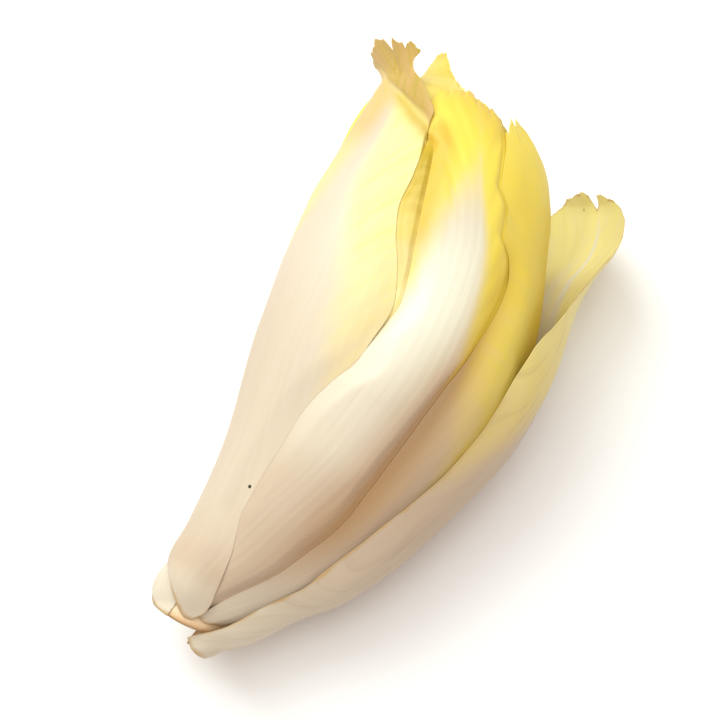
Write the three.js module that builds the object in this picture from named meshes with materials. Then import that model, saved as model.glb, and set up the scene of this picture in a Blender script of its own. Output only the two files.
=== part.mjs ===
// A belgian endive head, as cut from its root, lying on its side.
// Every leaf is one thin closed shell, worked out on a grid in polar coordinates round the head's own
// axis: x runs along the axis from the base to the tips, the angle turns round it (0 is straight up,
// 90 is the -Y side), and the radius says how far out the leaf's outer face lies.  The leaves are laid
// from the outermost to the innermost, and each one is tucked under those that lie outside it.
// Millimetres and degrees, +Z up, the tips towards +X, the surface it lies on at z = 0.

import * as THREE from "three";

// ---- the head -------------------------------------------------------------------------------------

const AXIS_TILT = 7; // the tips are raised, because the belly is fatter than the base
const AXIS_START = new THREE.Vector3(-63.71, 14.6, 19.5); // where the axis leaves the base
const HEIGHT_RATIO = 0.9; // the head is this much flatter than it is wide

// How far the middle line bows towards -Y, and the head's half width, at stations along the axis.
const BOW = [[-12, -2.5], [-6, -1.4], [0, 0.6], [13, 7.3], [39, 13.1], [60, 13.9], [80, 12.3],
  [96, 10], [107, 8.3], [118, 5.9], [128, 3.6], [142, 1]];
const HALF_WIDTH = [[-9, 7.5], [-4, 10.5], [0, 12.4], [5, 14], [10, 15.6], [21.5, 20], [39, 25.6],
  [63, 31], [77.5, 31.8], [91.6, 31], [106, 28.4], [119, 25], [127.5, 20.4], [134, 13.5], [142, 6]];

// ---- the core -------------------------------------------------------------------------------------

const CORE_RADIUS = [[-9, 6.8], [-8, 7.8], [-7, 8.3], [-5, 8.5], [-3, 8.5], [0, 8.2], [6, 8],
  [14, 7.4], [24, 5.6], [36, 3.2], [48, 1.2]];
const CORE_END = 48;
const CORE_SIDES = 16;
const CORE_STATIONS = [0, 0.06, 0.12, 0.2, 0.3, 0.42, 0.56, 0.7, 0.85, 1];
const CUT_AT = -4.5; // the knife's plane crosses the axis here
const CUT_SLOPE_UP = 0.41; // and leans by these slopes upwards and sideways
const CUT_SLOPE_SIDE = 0.08;
const CUT_STEPS = 40; // steps in the search for the core's rim on that plane

// ---- how leaves are made --------------------------------------------------------------------------

const GAP = 0.95; // between leaves that lie on each other
const INNER_GAP = 1.3; // the same among the inner leaves, whose grids are coarser
const CORE_GAP = 0.6; // between a leaf's base and the core
const LEAST_WALL = 0.8; // a blade's least thickness
const BASE_SHARE = 0.3; // the largest share of the room round the core that one rib takes
const RISE = 0.55; // how steeply a leaf comes out from under the margin of the one outside it
const LEDGE = 4.5; // how far past that margin it starts to rise
const TUCK = 2; // over how many millimetres it bends in under that margin
const TIP_CROWDING = 1.25; // rows of the grid lie closer together towards the tip
const HEEL_ROUND = 2.4; // the length over which a leaf's base end is rounded
const HEEL_DROP = 1.6; // and how far its outer face comes down there
const RIB_TAPER = 1.4; // how fast a rib thins towards the tip
const RIB_WIDTH = 0.75; // the share of a half leaf that the rib fills at the base
const RIB_NARROWING = 0.72; // the share of that width which it loses by the tip
const RIB_NARROW_FROM = 0.05; // the shares of the leaf's length between which it narrows
const RIB_NARROW_TO = 0.85;
const RIB_SHOULDER = 2.2; // a higher power gives a rib with a flatter back and steeper sides
const TEETH = [[2.1, 1, 1], [4.7, 0.7, 1.8], [9.1, 0.5, 3.1]]; // each wave's pace, share and phase
const TEETH_SHIFT = 1.7; // the phase by which each leaf's teeth differ from the last one's
const CURL_FROM = 0.35; // the share of a half leaf where an upturned margin begins
const ROLL_WIDTH = 8; // how broad the strip along a margin is that is rolled inwards
const BEYOND = 1.05; // past this share of its half width a leaf's section is taken to stay as it is
const LEAST_RADIUS = 6; // distances past a margin are never measured on a smaller circle
const CENTRE_RADIUS = 0.05; // no face passes through the axis
const LEAST_FALL = 0.05; // a line flatter than this doesn't meet the surface below
const LEAST_WIDTH = 0.001; // keeps a share of a half leaf's width from dividing by nothing

// A valley runs along the head between the middle leaf and the right one: its angle, depth and width.
const FOLD_ANGLE = [[5, 38], [15, 40], [25, 42], [39, 44], [49, 45], [59, 45], [70, 47], [79, 47],
  [90, 49], [100, 50]];
const FOLD_DEPTH = [[15, 0], [25, 0.4], [40, 1.2], [55, 2.4], [70, 2.8], [85, 2], [100, 0.5]];
const FOLD_WIDTH = 4.6;

const CREAM = 0xf0e3cf;
const PALE = 0xeee6c4;
const YELLOW = 0xf0dd62;
const CORE_COLOUR = 0xd9b084;

// Each leaf: the angles of its midrib and its two margins along the axis, where it starts and ends,
// how far its rib stands above the head's half width, how much rounder its section is than the head's
// (a smaller value makes a sharper ridge), its rib's thickness at the base and the tip, its tip's
// shape and its grid.  `heel` says how much later than its start it begins across its width, `roll`
// how far its near margin is rolled inwards, `curl` how far its far margin is turned up, and `fold`
// that the head's valley is pressed into it; `gap`, `rise` and `tuck` replace the values above.
// A value is a number, or a list of stations [x, value].
const LEAVES = [
  {
    name: "leaf_loose",
    middle: [[-11, 105], [-5, 112], [2, 122], [15, 129], [40, 122], [80, 125], [105, 130], [130, 124]],
    near: [[-11.5, 26], [-9.5, 35], [-6, 52], [-3, 58], [0, 61.5], [5, 66], [10, 65.5], [16, 62.5],
      [28, 62.2], [36, 65.5], [48, 70], [64, 70], [74, 68.5], [80, 68.5], [88, 74], [96, 83],
      [104, 91], [110, 95], [130, 102]],
    far: [[-11, 160], [-5, 172], [2, 186], [30, 200], [70, 202], [95, 178], [115, 152], [130, 146]],
    start: -11.8,
    end: 132,
    lift: [[-12, 2.4], [-8, 4], [-4, 5.3], [5, 5], [13, 6], [25, 5.2], [36, 4], [60, 5], [80, 7],
      [96, 9], [107, 13.5], [118, 21], [130, 26.5]],
    round: [[-11, 0.62], [0, 0.75], [15, 0.85], [60, 0.85], [90, 0.84], [110, 0.9]],
    nearRound: [[-11, 0.62], [0, 0.75], [12, 0.8], [25, 0.78], [60, 0.78], [80, 0.82], [110, 0.9]],
    roll: [[-11, 0], [-4, 1], [0, 1.6], [5, 2.6], [18, 2.9], [30, 2.2], [64, 2.2], [80, 1], [90, 0]],
    rise: [[0, 1.6], [30, 0.55]],
    rib: [4.8, 1.2],
    tip: { drop: 7, power: 3, middle: 0, teeth: 0.56, waves: 3 },
    heel: [[-1, 2.2], [-0.8, 1.3], [-0.6, 0.3], [-0.4, -0.2], [0, 0.1], [1, 1.4]],
    grid: [22, 18],
    colour: PALE,
  },
  {
    name: "leaf_left",
    middle: [[-5, -40], [30, -50], [60, -48], [90, -42], [118, -36], [128, -48], [135, -58]],
    near: [[-5, -110], [20, -112], [60, -108], [90, -96], [118, -78], [128, -74], [135, -96]],
    far: [[-5, 24], [-3, 23], [2, 12], [8, -3], [14, -15], [20, -22.5], [28, -23.5], [36, -21.5],
      [44, -18], [52, -11], [58, -4.5], [64, -2], [72, 1], [80, -2.5], [88, -8.5], [95, -11],
      [102, -10], [116, -11], [123, -11], [128, -24], [135, -24]],
    start: -6.7,
    end: 134.2,
    lift: [[-8, 1.8], [0, 2], [10, 1.7], [22, 0.9], [40, 0.5], [118, 0], [127, 1.5], [135, 15]],
    round: 0.88,
    rib: [4.5, 1.2],
    tip: { drop: 3.4, power: 2.5, middle: 0.1, teeth: 0.56, waves: 3 },
    heel: [[-1, 24], [-0.6, 17], [-0.26, 11.2], [0.05, 7.3], [0.27, 4.7], [0.55, 1.7], [0.75, 0.7],
      [0.88, 0.8], [1, 2.6]],
    curl: { at: 125, length: 7, height: 3 },
    grid: [24, 18],
    colour: CREAM,
  },
  {
    name: "leaf_under",
    middle: [[-3, 190], [60, 195], [120, 190]],
    near: [[-3, 135], [60, 140], [120, 150]],
    far: [[-3, 225], [15, 240], [60, 250], [120, 232]],
    start: -2,
    end: 128,
    lift: [[-3, 0], [60, -0.5], [128, 0]],
    round: 0.9,
    rib: [4.5, 1.2],
    tip: { drop: 14, power: 2.4, middle: 0, teeth: 0.5, waves: 3 },
    grid: [15, 12],
    colour: CREAM,
  },
  {
    name: "leaf_back",
    middle: [[-5, -95], [20, -108], [60, -112], [128, -100]],
    near: [[-5, -150], [15, -160], [60, -172], [128, -140]],
    far: [[-5, -15], [10, -30], [60, -50], [128, -62]],
    start: -6.8,
    end: 131,
    lift: 0,
    round: 0.9,
    rib: [4.5, 1.2],
    tip: { drop: 14, power: 2.4, middle: 0, teeth: 0.5, waves: 3 },
    heel: [[-1, 11], [-0.4, 6.5], [0, 4], [0.2, 2.9], [0.4, 1.2], [0.6, 0.3], [1, -0.6]],
    grid: [16, 13],
    colour: CREAM,
  },
  {
    name: "leaf_strip",
    middle: [[0, -40], [60, -38], [134, -24]],
    near: [[0, -90], [60, -90], [134, -44]],
    far: [[14, -44], [34, -40], [48, -28], [57, -13], [66, -2], [74, 3.5], [88, 0.5], [106, -3.5],
      [118, -4.5], [134, -8]],
    start: 19,
    end: 130,
    lift: -0.3,
    round: 0.9,
    rib: [4, 1.2],
    tip: { drop: 14, power: 2.4, middle: 0, teeth: 0.37, waves: 3 },
    grid: [16, 12],
    colour: PALE,
  },
  {
    name: "leaf_right",
    middle: [[-5, 66], [6, 78], [40, 84], [90, 88], [130, 62]],
    near: [[-5, 22], [5, 31], [12, 35.5], [18, 37.5], [25, 40], [36, 36.5], [52, 36], [60, 37],
      [66, 39.7], [72, 44], [78, 47], [84, 49.5], [90, 50.5], [95, 47.5], [99, 40], [105, 40],
      [110, 33], [122, 34], [130, 33]],
    far: [[-5, 120], [4, 140], [60, 146], [130, 100]],
    start: -5.2,
    end: 130.8,
    lift: [[0, -0.3], [12, -1], [25, -1.8], [40, -2], [55, -1.2], [70, -0.3], [85, 0], [100, 0],
      [115, 0.8], [125, 1]],
    round: [[0, 0.9], [60, 0.92], [130, 0.95]],
    fold: true,
    rib: [4, 1.2],
    tip: { drop: 8, power: 2.4, middle: 0, teeth: 0.81, waves: 4 },
    heel: [[-1, 0.8], [-0.7, 0], [-0.2, 1.2], [0.3, 3.5], [1, 7.5]],
    grid: [22, 17],
    colour: YELLOW,
  },
  {
    name: "leaf_middle",
    middle: [[3, 10], [20, 13], [40, 20], [64, 25], [90, 27], [110, 20], [133, 14]],
    near: [[-3, -12], [3, -16], [10, -28], [20, -38], [60, -30], [133, -12]],
    far: [[3, 70], [60, 70], [133, 44]],
    start: -3.6,
    end: 132.5,
    lift: [[0, -0.3], [30, 0.3], [70, 0.5], [110, 0], [133, -1]],
    round: [[0, 0.75], [30, 0.66], [50, 0.6], [95, 0.6], [115, 0.7], [135, 0.9]],
    nearRound: 0.9,
    fold: true,
    rib: [4.5, 1.2],
    tip: { drop: 4.4, power: 1.4, middle: -0.8, teeth: 0.5, waves: 4 },
    heel: [[-1, 1], [0, 0], [0.25, 1.5], [0.45, 5], [1, 9]],
    tuck: 1.2,
    grid: [22, 16],
    colour: CREAM,
  },
  {
    name: "leaf_inner_left",
    middle: [[8, -20], [120, -12], [142, -60]],
    near: [[8, -80], [120, -60], [142, -95]],
    far: [[8, 40], [105, 34], [142, -20]],
    start: 20,
    end: 141.5,
    lift: [[8, -3], [80, -4], [130, -2], [142, 4]],
    round: 0.9,
    rib: [3.6, 1.1],
    tip: { drop: 10, power: 1.6, middle: 0, teeth: 0.62, waves: 3 },
    gap: INNER_GAP,
    grid: [16, 12],
    colour: YELLOW,
  },
  {
    name: "leaf_inner_right",
    middle: [[10, 50], [134, 30]],
    near: [[10, -10], [134, -20]],
    far: [[10, 110], [134, 70]],
    start: 22,
    end: 128.5,
    lift: [[8, -3], [80, -4], [134, -1]],
    round: 0.9,
    rib: [3.6, 1.1],
    tip: { drop: 8, power: 2.4, middle: 0, teeth: 0.62, waves: 3 },
    gap: 2.2,
    grid: [14, 10],
    colour: YELLOW,
  },
];

// The packed inner leaves follow the plant's own turn of 137.5 degrees, each one deeper and shorter.
const HEART_LEAVES = 9;
const GOLDEN_TURN = 137.5;
const HEART_FIRST_ANGLE = 165;
for (let i = 0; i < HEART_LEAVES; i++) {
  const angle = HEART_FIRST_ANGLE + i * GOLDEN_TURN;
  LEAVES.push({
    name: "leaf_heart_" + (i + 1),
    middle: angle,
    near: angle - 72 + 4 * i,
    far: angle + 72 - 4 * i,
    start: 29 + 3.3 * i,
    end: 127 - 3.8 * i,
    lift: [[10, -4 - 0.5 * i], [60, -6 - 2.2 * i], [100, -6 - 2 * i], [130, -5 - 0.5 * i]],
    round: 0.92,
    rib: [4, 1.1],
    tip: { drop: 9, power: 2.4, middle: 0, teeth: 0.5, waves: 3 },
    gap: INNER_GAP,
    grid: [12, 9],
    colour: YELLOW,
  });
}

LEAVES.forEach((leaf, order) => {
  leaf.order = order;
});

// ---- small helpers --------------------------------------------------------------------------------

const rad = THREE.MathUtils.degToRad;
const clamp = THREE.MathUtils.clamp;
const smoothstep = (x, low, high) => THREE.MathUtils.smoothstep(x, low, high);

// An angle brought into -180 to 180.
function wrap(angle) {
  return THREE.MathUtils.euclideanModulo(angle + 180, 360) - 180;
}

// The value at x of a number or of a list of stations, on a smooth curve that never overshoots them.
function along(stations, x) {
  if (typeof stations === "number") return stations;
  const last = stations.length - 1;
  if (x <= stations[0][0]) return stations[0][1];
  if (x >= stations[last][0]) return stations[last][1];
  let i = 0;
  while (x > stations[i + 1][0]) i++;
  const slope = (k) => (stations[k + 1][1] - stations[k][1]) / (stations[k + 1][0] - stations[k][0]);
  const tangent = (k) => {
    if (k === 0) return slope(0);
    if (k === last) return slope(last - 1);
    const product = slope(k - 1) * slope(k);
    return product > 0 ? (2 * product) / (slope(k - 1) + slope(k)) : 0;
  };
  const width = stations[i + 1][0] - stations[i][0];
  const t = (x - stations[i][0]) / width;
  return stations[i][1] * (2 * t ** 3 - 3 * t ** 2 + 1) + stations[i + 1][1] * (3 * t ** 2 - 2 * t ** 3)
    + width * tangent(i) * (t ** 3 - 2 * t ** 2 + t) + width * tangent(i + 1) * (t ** 3 - t ** 2);
}

// The smaller of two values, rounded off where they meet, and never above either.
function softMinimum(a, b, width) {
  const share = clamp(0.5 + (0.5 * (b - a)) / width, 0, 1);
  return b * (1 - share) + a * share - width * share * (1 - share);
}

// A quarter circle: 0 at 0 and 1 at 1, steep at first.
function quarterRound(t) {
  return Math.sqrt(1 - (1 - clamp(t, 0, 1)) ** 2);
}

// ---- the head's frame -----------------------------------------------------------------------------

const AXIS = new THREE.Vector3(Math.cos(rad(AXIS_TILT)), 0, Math.sin(rad(AXIS_TILT)));
const UPWARD = new THREE.Vector3(-Math.sin(rad(AXIS_TILT)), 0, Math.cos(rad(AXIS_TILT)));
const SIDEWAYS = new THREE.Vector3(0, -1, 0);

// The point at distance x along the axis, at this angle and radius round the bowed middle line.
function placePoint(x, angle, radius) {
  const point = AXIS_START.clone()
    .addScaledVector(AXIS, x)
    .addScaledVector(SIDEWAYS, along(BOW, x) + radius * Math.sin(rad(angle)))
    .addScaledVector(UPWARD, radius * Math.cos(rad(angle)) * HEIGHT_RATIO);
  point.z = Math.max(point.z, 0);
  return point;
}

// The radius at which a line from the axis at this angle meets the surface the head lies on.
function radiusAtFloor(x, angle) {
  const fall = -Math.cos(rad(angle)) * HEIGHT_RATIO * UPWARD.z;
  return fall > LEAST_FALL ? (AXIS_START.z + x * AXIS.z) / fall : Infinity;
}

// ---- one leaf's formulas --------------------------------------------------------------------------

// Across a leaf, s runs from -1 at the near margin through 0 on the midrib to 1 at the far margin.
function acrossAt(leaf, x, angle) {
  const fromRib = wrap(angle - along(leaf.middle, x));
  const width = fromRib < 0
    ? along(leaf.middle, x) - along(leaf.near, x)
    : along(leaf.far, x) - along(leaf.middle, x);
  return { s: fromRib / Math.max(width, LEAST_WIDTH), fromRib, width };
}

function angleAt(leaf, x, s) {
  const middle = along(leaf.middle, x);
  return middle + s * (s < 0 ? middle - along(leaf.near, x) : along(leaf.far, x) - middle);
}

// Where the leaf ends along the axis: a rounded tip with ragged teeth, three waves of which add up.
function tipAt(leaf, s) {
  const { drop, power, middle, teeth, waves } = leaf.tip;
  const across = clamp(s, -1, 1);
  const phase = leaf.order * TEETH_SHIFT;
  let ragged = 0;
  for (const [pace, share, turn] of TEETH) ragged += share * Math.sin(across * waves * pace + phase * turn);
  return leaf.end - drop * Math.abs(across - middle) ** power + teeth * ragged;
}

// Where it starts.
function heelAt(leaf, s) {
  return leaf.start + along(leaf.heel ?? 0, s);
}

// Its thickness: a fleshy rib, broad at the base and narrow at the tip, fading into a thin blade.
function thicknessAt(leaf, x, s) {
  const u = clamp((x - leaf.start) / (leaf.end - leaf.start), 0, 1);
  const [atBase, atTip] = leaf.rib;
  const room = BASE_SHARE * (along(HALF_WIDTH, x) + along(leaf.lift, x) - along(CORE_RADIUS, x));
  const rib = Math.min(atTip + (atBase - atTip) * (1 - u) ** RIB_TAPER, Math.max(room, LEAST_WALL));
  const ribWidth = RIB_WIDTH * (1 - RIB_NARROWING * smoothstep(u, RIB_NARROW_FROM, RIB_NARROW_TO));
  const ribShare = Math.exp(-((Math.abs(s) / ribWidth) ** RIB_SHOULDER));
  return LEAST_WALL + Math.max(rib - LEAST_WALL, 0) * ribShare;
}

// How deep the valley is at a place: a bell across its line.
function foldDepth(x, angle) {
  const fromLine = rad(angle - along(FOLD_ANGLE, x)) * along(HALF_WIDTH, x);
  return along(FOLD_DEPTH, x) * Math.exp(-((fromLine / FOLD_WIDTH) ** 2));
}

// The radius of its outer face if nothing lay over it: a gutter whose section is a circle smaller than
// the head's, touching it at the rib, less a rolled margin and the fold, plus an upturned margin.
function freeRadius(leaf, x, angle) {
  const { s, fromRib, width } = acrossAt(leaf, x, angle);
  const turn = clamp(fromRib, -BEYOND * width, BEYOND * width);
  const peak = along(HALF_WIDTH, x) + along(leaf.lift, x);
  const own = peak * along(fromRib < 0 ? leaf.nearRound ?? leaf.round : leaf.round, x);
  const offset = peak - own;
  let radius = offset * Math.cos(rad(turn))
    + Math.sqrt(Math.max(own ** 2 - (offset * Math.sin(rad(turn))) ** 2, 1));
  if (leaf.roll && s < 0) {
    const fromMargin = (1 + s) * rad(width) * peak;
    radius -= along(leaf.roll, x) * clamp(1 - fromMargin / ROLL_WIDTH, 0, 1) ** 2;
  }
  if (leaf.fold) radius -= foldDepth(x, angle);
  if (leaf.curl) {
    const height = leaf.curl.height * Math.exp(-(((x - leaf.curl.at) / leaf.curl.length) ** 2));
    radius += height * smoothstep(s, CURL_FROM, 1);
  }
  return radius;
}

// The radii of a leaf's outer and inner faces at a place.  Every leaf laid before it lowers the ceiling
// there, under its own inner face where it covers the place, and rising away from its margin outside.
function facesAt(order, x, angle) {
  let ceiling = Infinity;
  for (const leaf of LEAVES.slice(0, order)) {
    const { s, fromRib, width } = acrossAt(leaf, x, angle);
    const outer = tuckedRadius(leaf, x, angle, ceiling);
    const inner = Math.max(outer - thicknessAt(leaf, x, clamp(s, -1, 1)), 0);
    const past = rad(Math.max(0, Math.abs(fromRib) - width)) * Math.max(outer, LEAST_RADIUS)
      + Math.max(0, x - tipAt(leaf, s));
    const rise = along(leaf.rise ?? RISE, x) * Math.max(0, past - LEDGE);
    ceiling = Math.min(ceiling, inner - (leaf.gap ?? GAP) + rise);
  }
  const leaf = LEAVES[order];
  const { s } = acrossAt(leaf, x, angle);
  const top = tuckedRadius(leaf, x, angle, ceiling);
  const core = x < CORE_END ? along(CORE_RADIUS, x) + CORE_GAP : CENTRE_RADIUS;
  const inner = Math.max(top - thicknessAt(leaf, x, s), core);
  const heel = quarterRound((x - heelAt(leaf, s)) / HEEL_ROUND);
  return { outer: Math.max(top - HEEL_DROP * (1 - heel), inner + LEAST_WALL), inner };
}

function tuckedRadius(leaf, x, angle, ceiling) {
  const free = freeRadius(leaf, x, angle);
  return Math.min(Number.isFinite(ceiling) ? softMinimum(free, ceiling, leaf.tuck ?? TUCK) : free,
    radiusAtFloor(x, angle));
}

// ---- meshes ---------------------------------------------------------------------------------------

function meshOf(name, points, triangles, colour) {
  const positions = points.flatMap((point) => point.toArray());
  const geometry = new THREE.BufferGeometry();
  geometry.setAttribute("position", new THREE.Float32BufferAttribute(positions, 3));
  geometry.setIndex(triangles);
  geometry.computeVertexNormals();
  const material = new THREE.MeshStandardMaterial({ color: colour, roughness: 0.45, metalness: 0 });
  const mesh = new THREE.Mesh(geometry, material);
  mesh.name = name;
  return mesh;
}

// Two alike grids of points, the outer face and the inner one, joined round their border.
function shellOf(name, rows, columns, outer, inner, colour) {
  const at = (i, j) => i * (columns + 1) + j;
  const under = outer.length;
  const triangles = [];
  for (let i = 0; i < rows; i++) {
    for (let j = 0; j < columns; j++) {
      const [a, b, c, d] = [at(i, j), at(i, j + 1), at(i + 1, j + 1), at(i + 1, j)];
      triangles.push(a, b, c, a, c, d);
      triangles.push(a + under, c + under, b + under, a + under, d + under, c + under);
    }
  }
  const border = [];
  for (let j = 0; j < columns; j++) border.push(at(0, j));
  for (let i = 0; i < rows; i++) border.push(at(i, columns));
  for (let j = columns; j > 0; j--) border.push(at(rows, j));
  for (let i = rows; i > 0; i--) border.push(at(i, 0));
  border.forEach((a, k) => {
    const b = border[(k + 1) % border.length];
    triangles.push(a, b + under, b, a, a + under, b + under);
  });
  return meshOf(name, [...outer, ...inner], triangles, colour);
}

function makeLeaf(order) {
  const leaf = LEAVES[order];
  const [rows, columns] = leaf.grid;
  const outer = [];
  const inner = [];
  for (let i = 0; i <= rows; i++) {
    for (let j = 0; j <= columns; j++) {
      const s = (2 * j) / columns - 1;
      const u = 1 - (1 - i / rows) ** TIP_CROWDING;
      const x = heelAt(leaf, s) + (tipAt(leaf, s) - heelAt(leaf, s)) * u;
      const angle = angleAt(leaf, x, s);
      const faces = facesAt(order, x, angle);
      outer.push(placePoint(x, angle, faces.outer));
      inner.push(placePoint(x, angle, faces.inner));
    }
  }
  return shellOf(leaf.name, rows, columns, outer, inner, leaf.colour);
}

// The core: rings round the axis, from the knife's leaning plane to a blunt point among the heart leaves.
function makeCore() {
  const points = [];
  const triangles = [];
  // Where the core's side meets the knife's plane: found by stepping to and fro between the two.
  const cutAt = (angle) => {
    let x = CUT_AT;
    for (let k = 0; k < CUT_STEPS; k++) {
      const radius = along(CORE_RADIUS, x);
      x = CUT_AT - radius * (CUT_SLOPE_UP * Math.cos(rad(angle)) * HEIGHT_RATIO
        + CUT_SLOPE_SIDE * Math.sin(rad(angle)));
    }
    return x;
  };
  for (const u of CORE_STATIONS) {
    for (let k = 0; k < CORE_SIDES; k++) {
      const angle = (360 * k) / CORE_SIDES;
      const x = cutAt(angle) + (CORE_END - cutAt(angle)) * u;
      points.push(placePoint(x, angle, along(CORE_RADIUS, x)));
    }
  }
  const ringAt = (i, k) => i * CORE_SIDES + (k % CORE_SIDES);
  for (let i = 0; i + 1 < CORE_STATIONS.length; i++) {
    for (let k = 0; k < CORE_SIDES; k++) {
      const [a, b, c, d] = [ringAt(i, k), ringAt(i, k + 1), ringAt(i + 1, k + 1), ringAt(i + 1, k)];
      triangles.push(a, b, c, a, c, d);
    }
  }
  const endRing = CORE_STATIONS.length - 1;
  for (const [ring, turn] of [[0, 1], [endRing, -1]]) {
    const middle = new THREE.Vector3();
    for (let k = 0; k < CORE_SIDES; k++) middle.addScaledVector(points[ringAt(ring, k)], 1 / CORE_SIDES);
    const centre = points.push(middle) - 1;
    for (let k = 0; k < CORE_SIDES; k++) {
      const pair = [ringAt(ring, k), ringAt(ring, k + 1)];
      if (turn > 0) pair.reverse();
      triangles.push(centre, ...pair);
    }
  }
  return meshOf("core", points, triangles, CORE_COLOUR);
}

// ---- the head put together ------------------------------------------------------------------------

const endive = new THREE.Group();
endive.name = "belgian_endive";
endive.add(makeCore());
LEAVES.forEach((leaf, order) => endive.add(makeLeaf(order)));

export default endive;
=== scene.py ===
# %% [markdown]
# # A Belgian endive
# This lesson dresses a measured model of one head of endive: a bud of wrapped leaves, cut from its root
# and laid on its side.  The plain solids arrive as a fixed frame.  Each leaf is then worked out again
# from the same formulas on a much finer grid, with veins, thin ragged margins and colours, and takes
# the place of its plain solid.

import bpy
import numpy as np
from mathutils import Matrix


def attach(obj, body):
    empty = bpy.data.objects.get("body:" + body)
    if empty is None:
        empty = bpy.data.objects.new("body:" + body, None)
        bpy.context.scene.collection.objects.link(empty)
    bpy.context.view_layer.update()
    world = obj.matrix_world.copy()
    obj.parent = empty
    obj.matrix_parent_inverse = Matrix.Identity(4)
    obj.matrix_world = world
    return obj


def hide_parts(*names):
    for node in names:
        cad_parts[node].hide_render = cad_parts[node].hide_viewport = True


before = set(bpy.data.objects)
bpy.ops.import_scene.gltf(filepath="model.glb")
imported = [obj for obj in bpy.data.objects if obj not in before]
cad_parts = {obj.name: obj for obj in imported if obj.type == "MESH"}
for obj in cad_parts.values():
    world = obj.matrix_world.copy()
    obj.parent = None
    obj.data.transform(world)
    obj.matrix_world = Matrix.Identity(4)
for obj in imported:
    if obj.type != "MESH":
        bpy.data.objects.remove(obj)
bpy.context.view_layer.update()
print("solids in the frame:", len(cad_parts))

# %% [markdown]
# ## The camera
# A camera can be aimed by its rotation or by a target.  A target is easier to think about: the camera
# stands on a sphere round the point it looks at, at an azimuth and a height in degrees.  An 80 mm lens
# keeps the near and the far end of the head in proportion.

# %% Place the camera
from math import cos, radians, sin

from mathutils import Vector

MM = 0.001
LOOK_AT = Vector((1.13, 7.15, 25.03)) * MM
CAMERA_AZIMUTH = radians(-64)
CAMERA_HEIGHT = radians(68)
CAMERA_DISTANCE = 373.3 * MM
LENS = 80
SENSOR_WIDTH = 36

TOWARDS_CAMERA = Vector((sin(CAMERA_AZIMUTH) * cos(CAMERA_HEIGHT),
                         -cos(CAMERA_AZIMUTH) * cos(CAMERA_HEIGHT),
                         sin(CAMERA_HEIGHT)))
CAMERA_RIGHT = Vector((cos(CAMERA_AZIMUTH), sin(CAMERA_AZIMUTH), 0))
CAMERA_UP = TOWARDS_CAMERA.cross(CAMERA_RIGHT)

camera_data = bpy.data.cameras.new("camera")
camera_data.lens = LENS
camera_data.sensor_width = SENSOR_WIDTH
camera = bpy.data.objects.new("camera", camera_data)
camera.location = LOOK_AT + TOWARDS_CAMERA * CAMERA_DISTANCE
camera.rotation_euler = TOWARDS_CAMERA.to_track_quat("Z", "Y").to_euler()
bpy.context.scene.collection.objects.link(camera)
bpy.context.scene.camera = camera
print("camera at", [round(v, 3) for v in camera.location])

# %% [markdown]
# ## The light
# A large lamp makes soft shadows, because a point on the floor sees part of it long before it sees all
# of it.  One wide lamp hangs overhead and makes the floor white.  A second one stands up and to the left
# like a window: faces that turn away from it, to the lower right, fall into shade.  The weak reddish sky
# fills the shadows.

# %% Light the scene
LAMPS = {"ceiling": dict(power=6, size=0.9, distance=1.1, right=0, up=0.37, towards=0.93),
         "window": dict(power=2.6, size=0.45, distance=0.55, right=-0.4, up=0.72, towards=0.55)}
LAMP_COLOUR = (0.9, 1.0, 0.99)
SKY = (1.0, 0.83, 0.75)
SKY_STRENGTH = 0.55

bpy.context.scene.view_settings.view_transform = "Standard"
world = bpy.data.worlds.new("sky")
bpy.context.scene.world = world
world.use_nodes = True
world.node_tree.nodes["Background"].inputs["Color"].default_value = (*SKY, 1)
world.node_tree.nodes["Background"].inputs["Strength"].default_value = SKY_STRENGTH

for lamp_name, lamp in LAMPS.items():
    towards_lamp = (CAMERA_RIGHT * lamp["right"] + CAMERA_UP * lamp["up"]
                    + TOWARDS_CAMERA * lamp["towards"]).normalized()
    lamp_data = bpy.data.lights.new(lamp_name, "AREA")
    lamp_data.shape = "DISK"
    lamp_data.size = lamp["size"]
    lamp_data.energy = lamp["power"]
    lamp_data.color = LAMP_COLOUR
    lamp_object = bpy.data.objects.new(lamp_name, lamp_data)
    lamp_object.location = LOOK_AT + towards_lamp * lamp["distance"]
    lamp_object.rotation_euler = towards_lamp.to_track_quat("Z", "Y").to_euler()
    bpy.context.scene.collection.objects.link(lamp_object)
    print(lamp_name, "lamp at", [round(v, 2) for v in lamp_object.location])

# %% [markdown]
# ## The surface
# The head lies on a smooth white board.  A box would do, but only its top is seen, so one large square
# is enough.  It is dull, so that the lamps don't mirror in it.

# %% Lay the floor
FLOOR_HALF = 3.0
FLOOR_WHITE = 0.94
FLOOR_ROUGHNESS = 0.9

floor_mesh = bpy.data.meshes.new("floor")
floor_mesh.from_pydata([(-FLOOR_HALF, -FLOOR_HALF, 0), (FLOOR_HALF, -FLOOR_HALF, 0),
                        (FLOOR_HALF, FLOOR_HALF, 0), (-FLOOR_HALF, FLOOR_HALF, 0)], [], [(0, 1, 2, 3)])
floor = bpy.data.objects.new("floor", floor_mesh)
bpy.context.scene.collection.objects.link(floor)
floor_paint = bpy.data.materials.new("floor_paint")
floor_paint.use_nodes = True
floor_shader = floor_paint.node_tree.nodes["Principled BSDF"]
floor_shader.inputs["Base Color"].default_value = (FLOOR_WHITE, FLOOR_WHITE, FLOOR_WHITE, 1)
floor_shader.inputs["Roughness"].default_value = FLOOR_ROUGHNESS
floor_shader.inputs["Specular IOR Level"].default_value = 0.0
floor_mesh.materials.append(floor_paint)
print("floor laid,", 2 * FLOOR_HALF, "m square")

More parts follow.
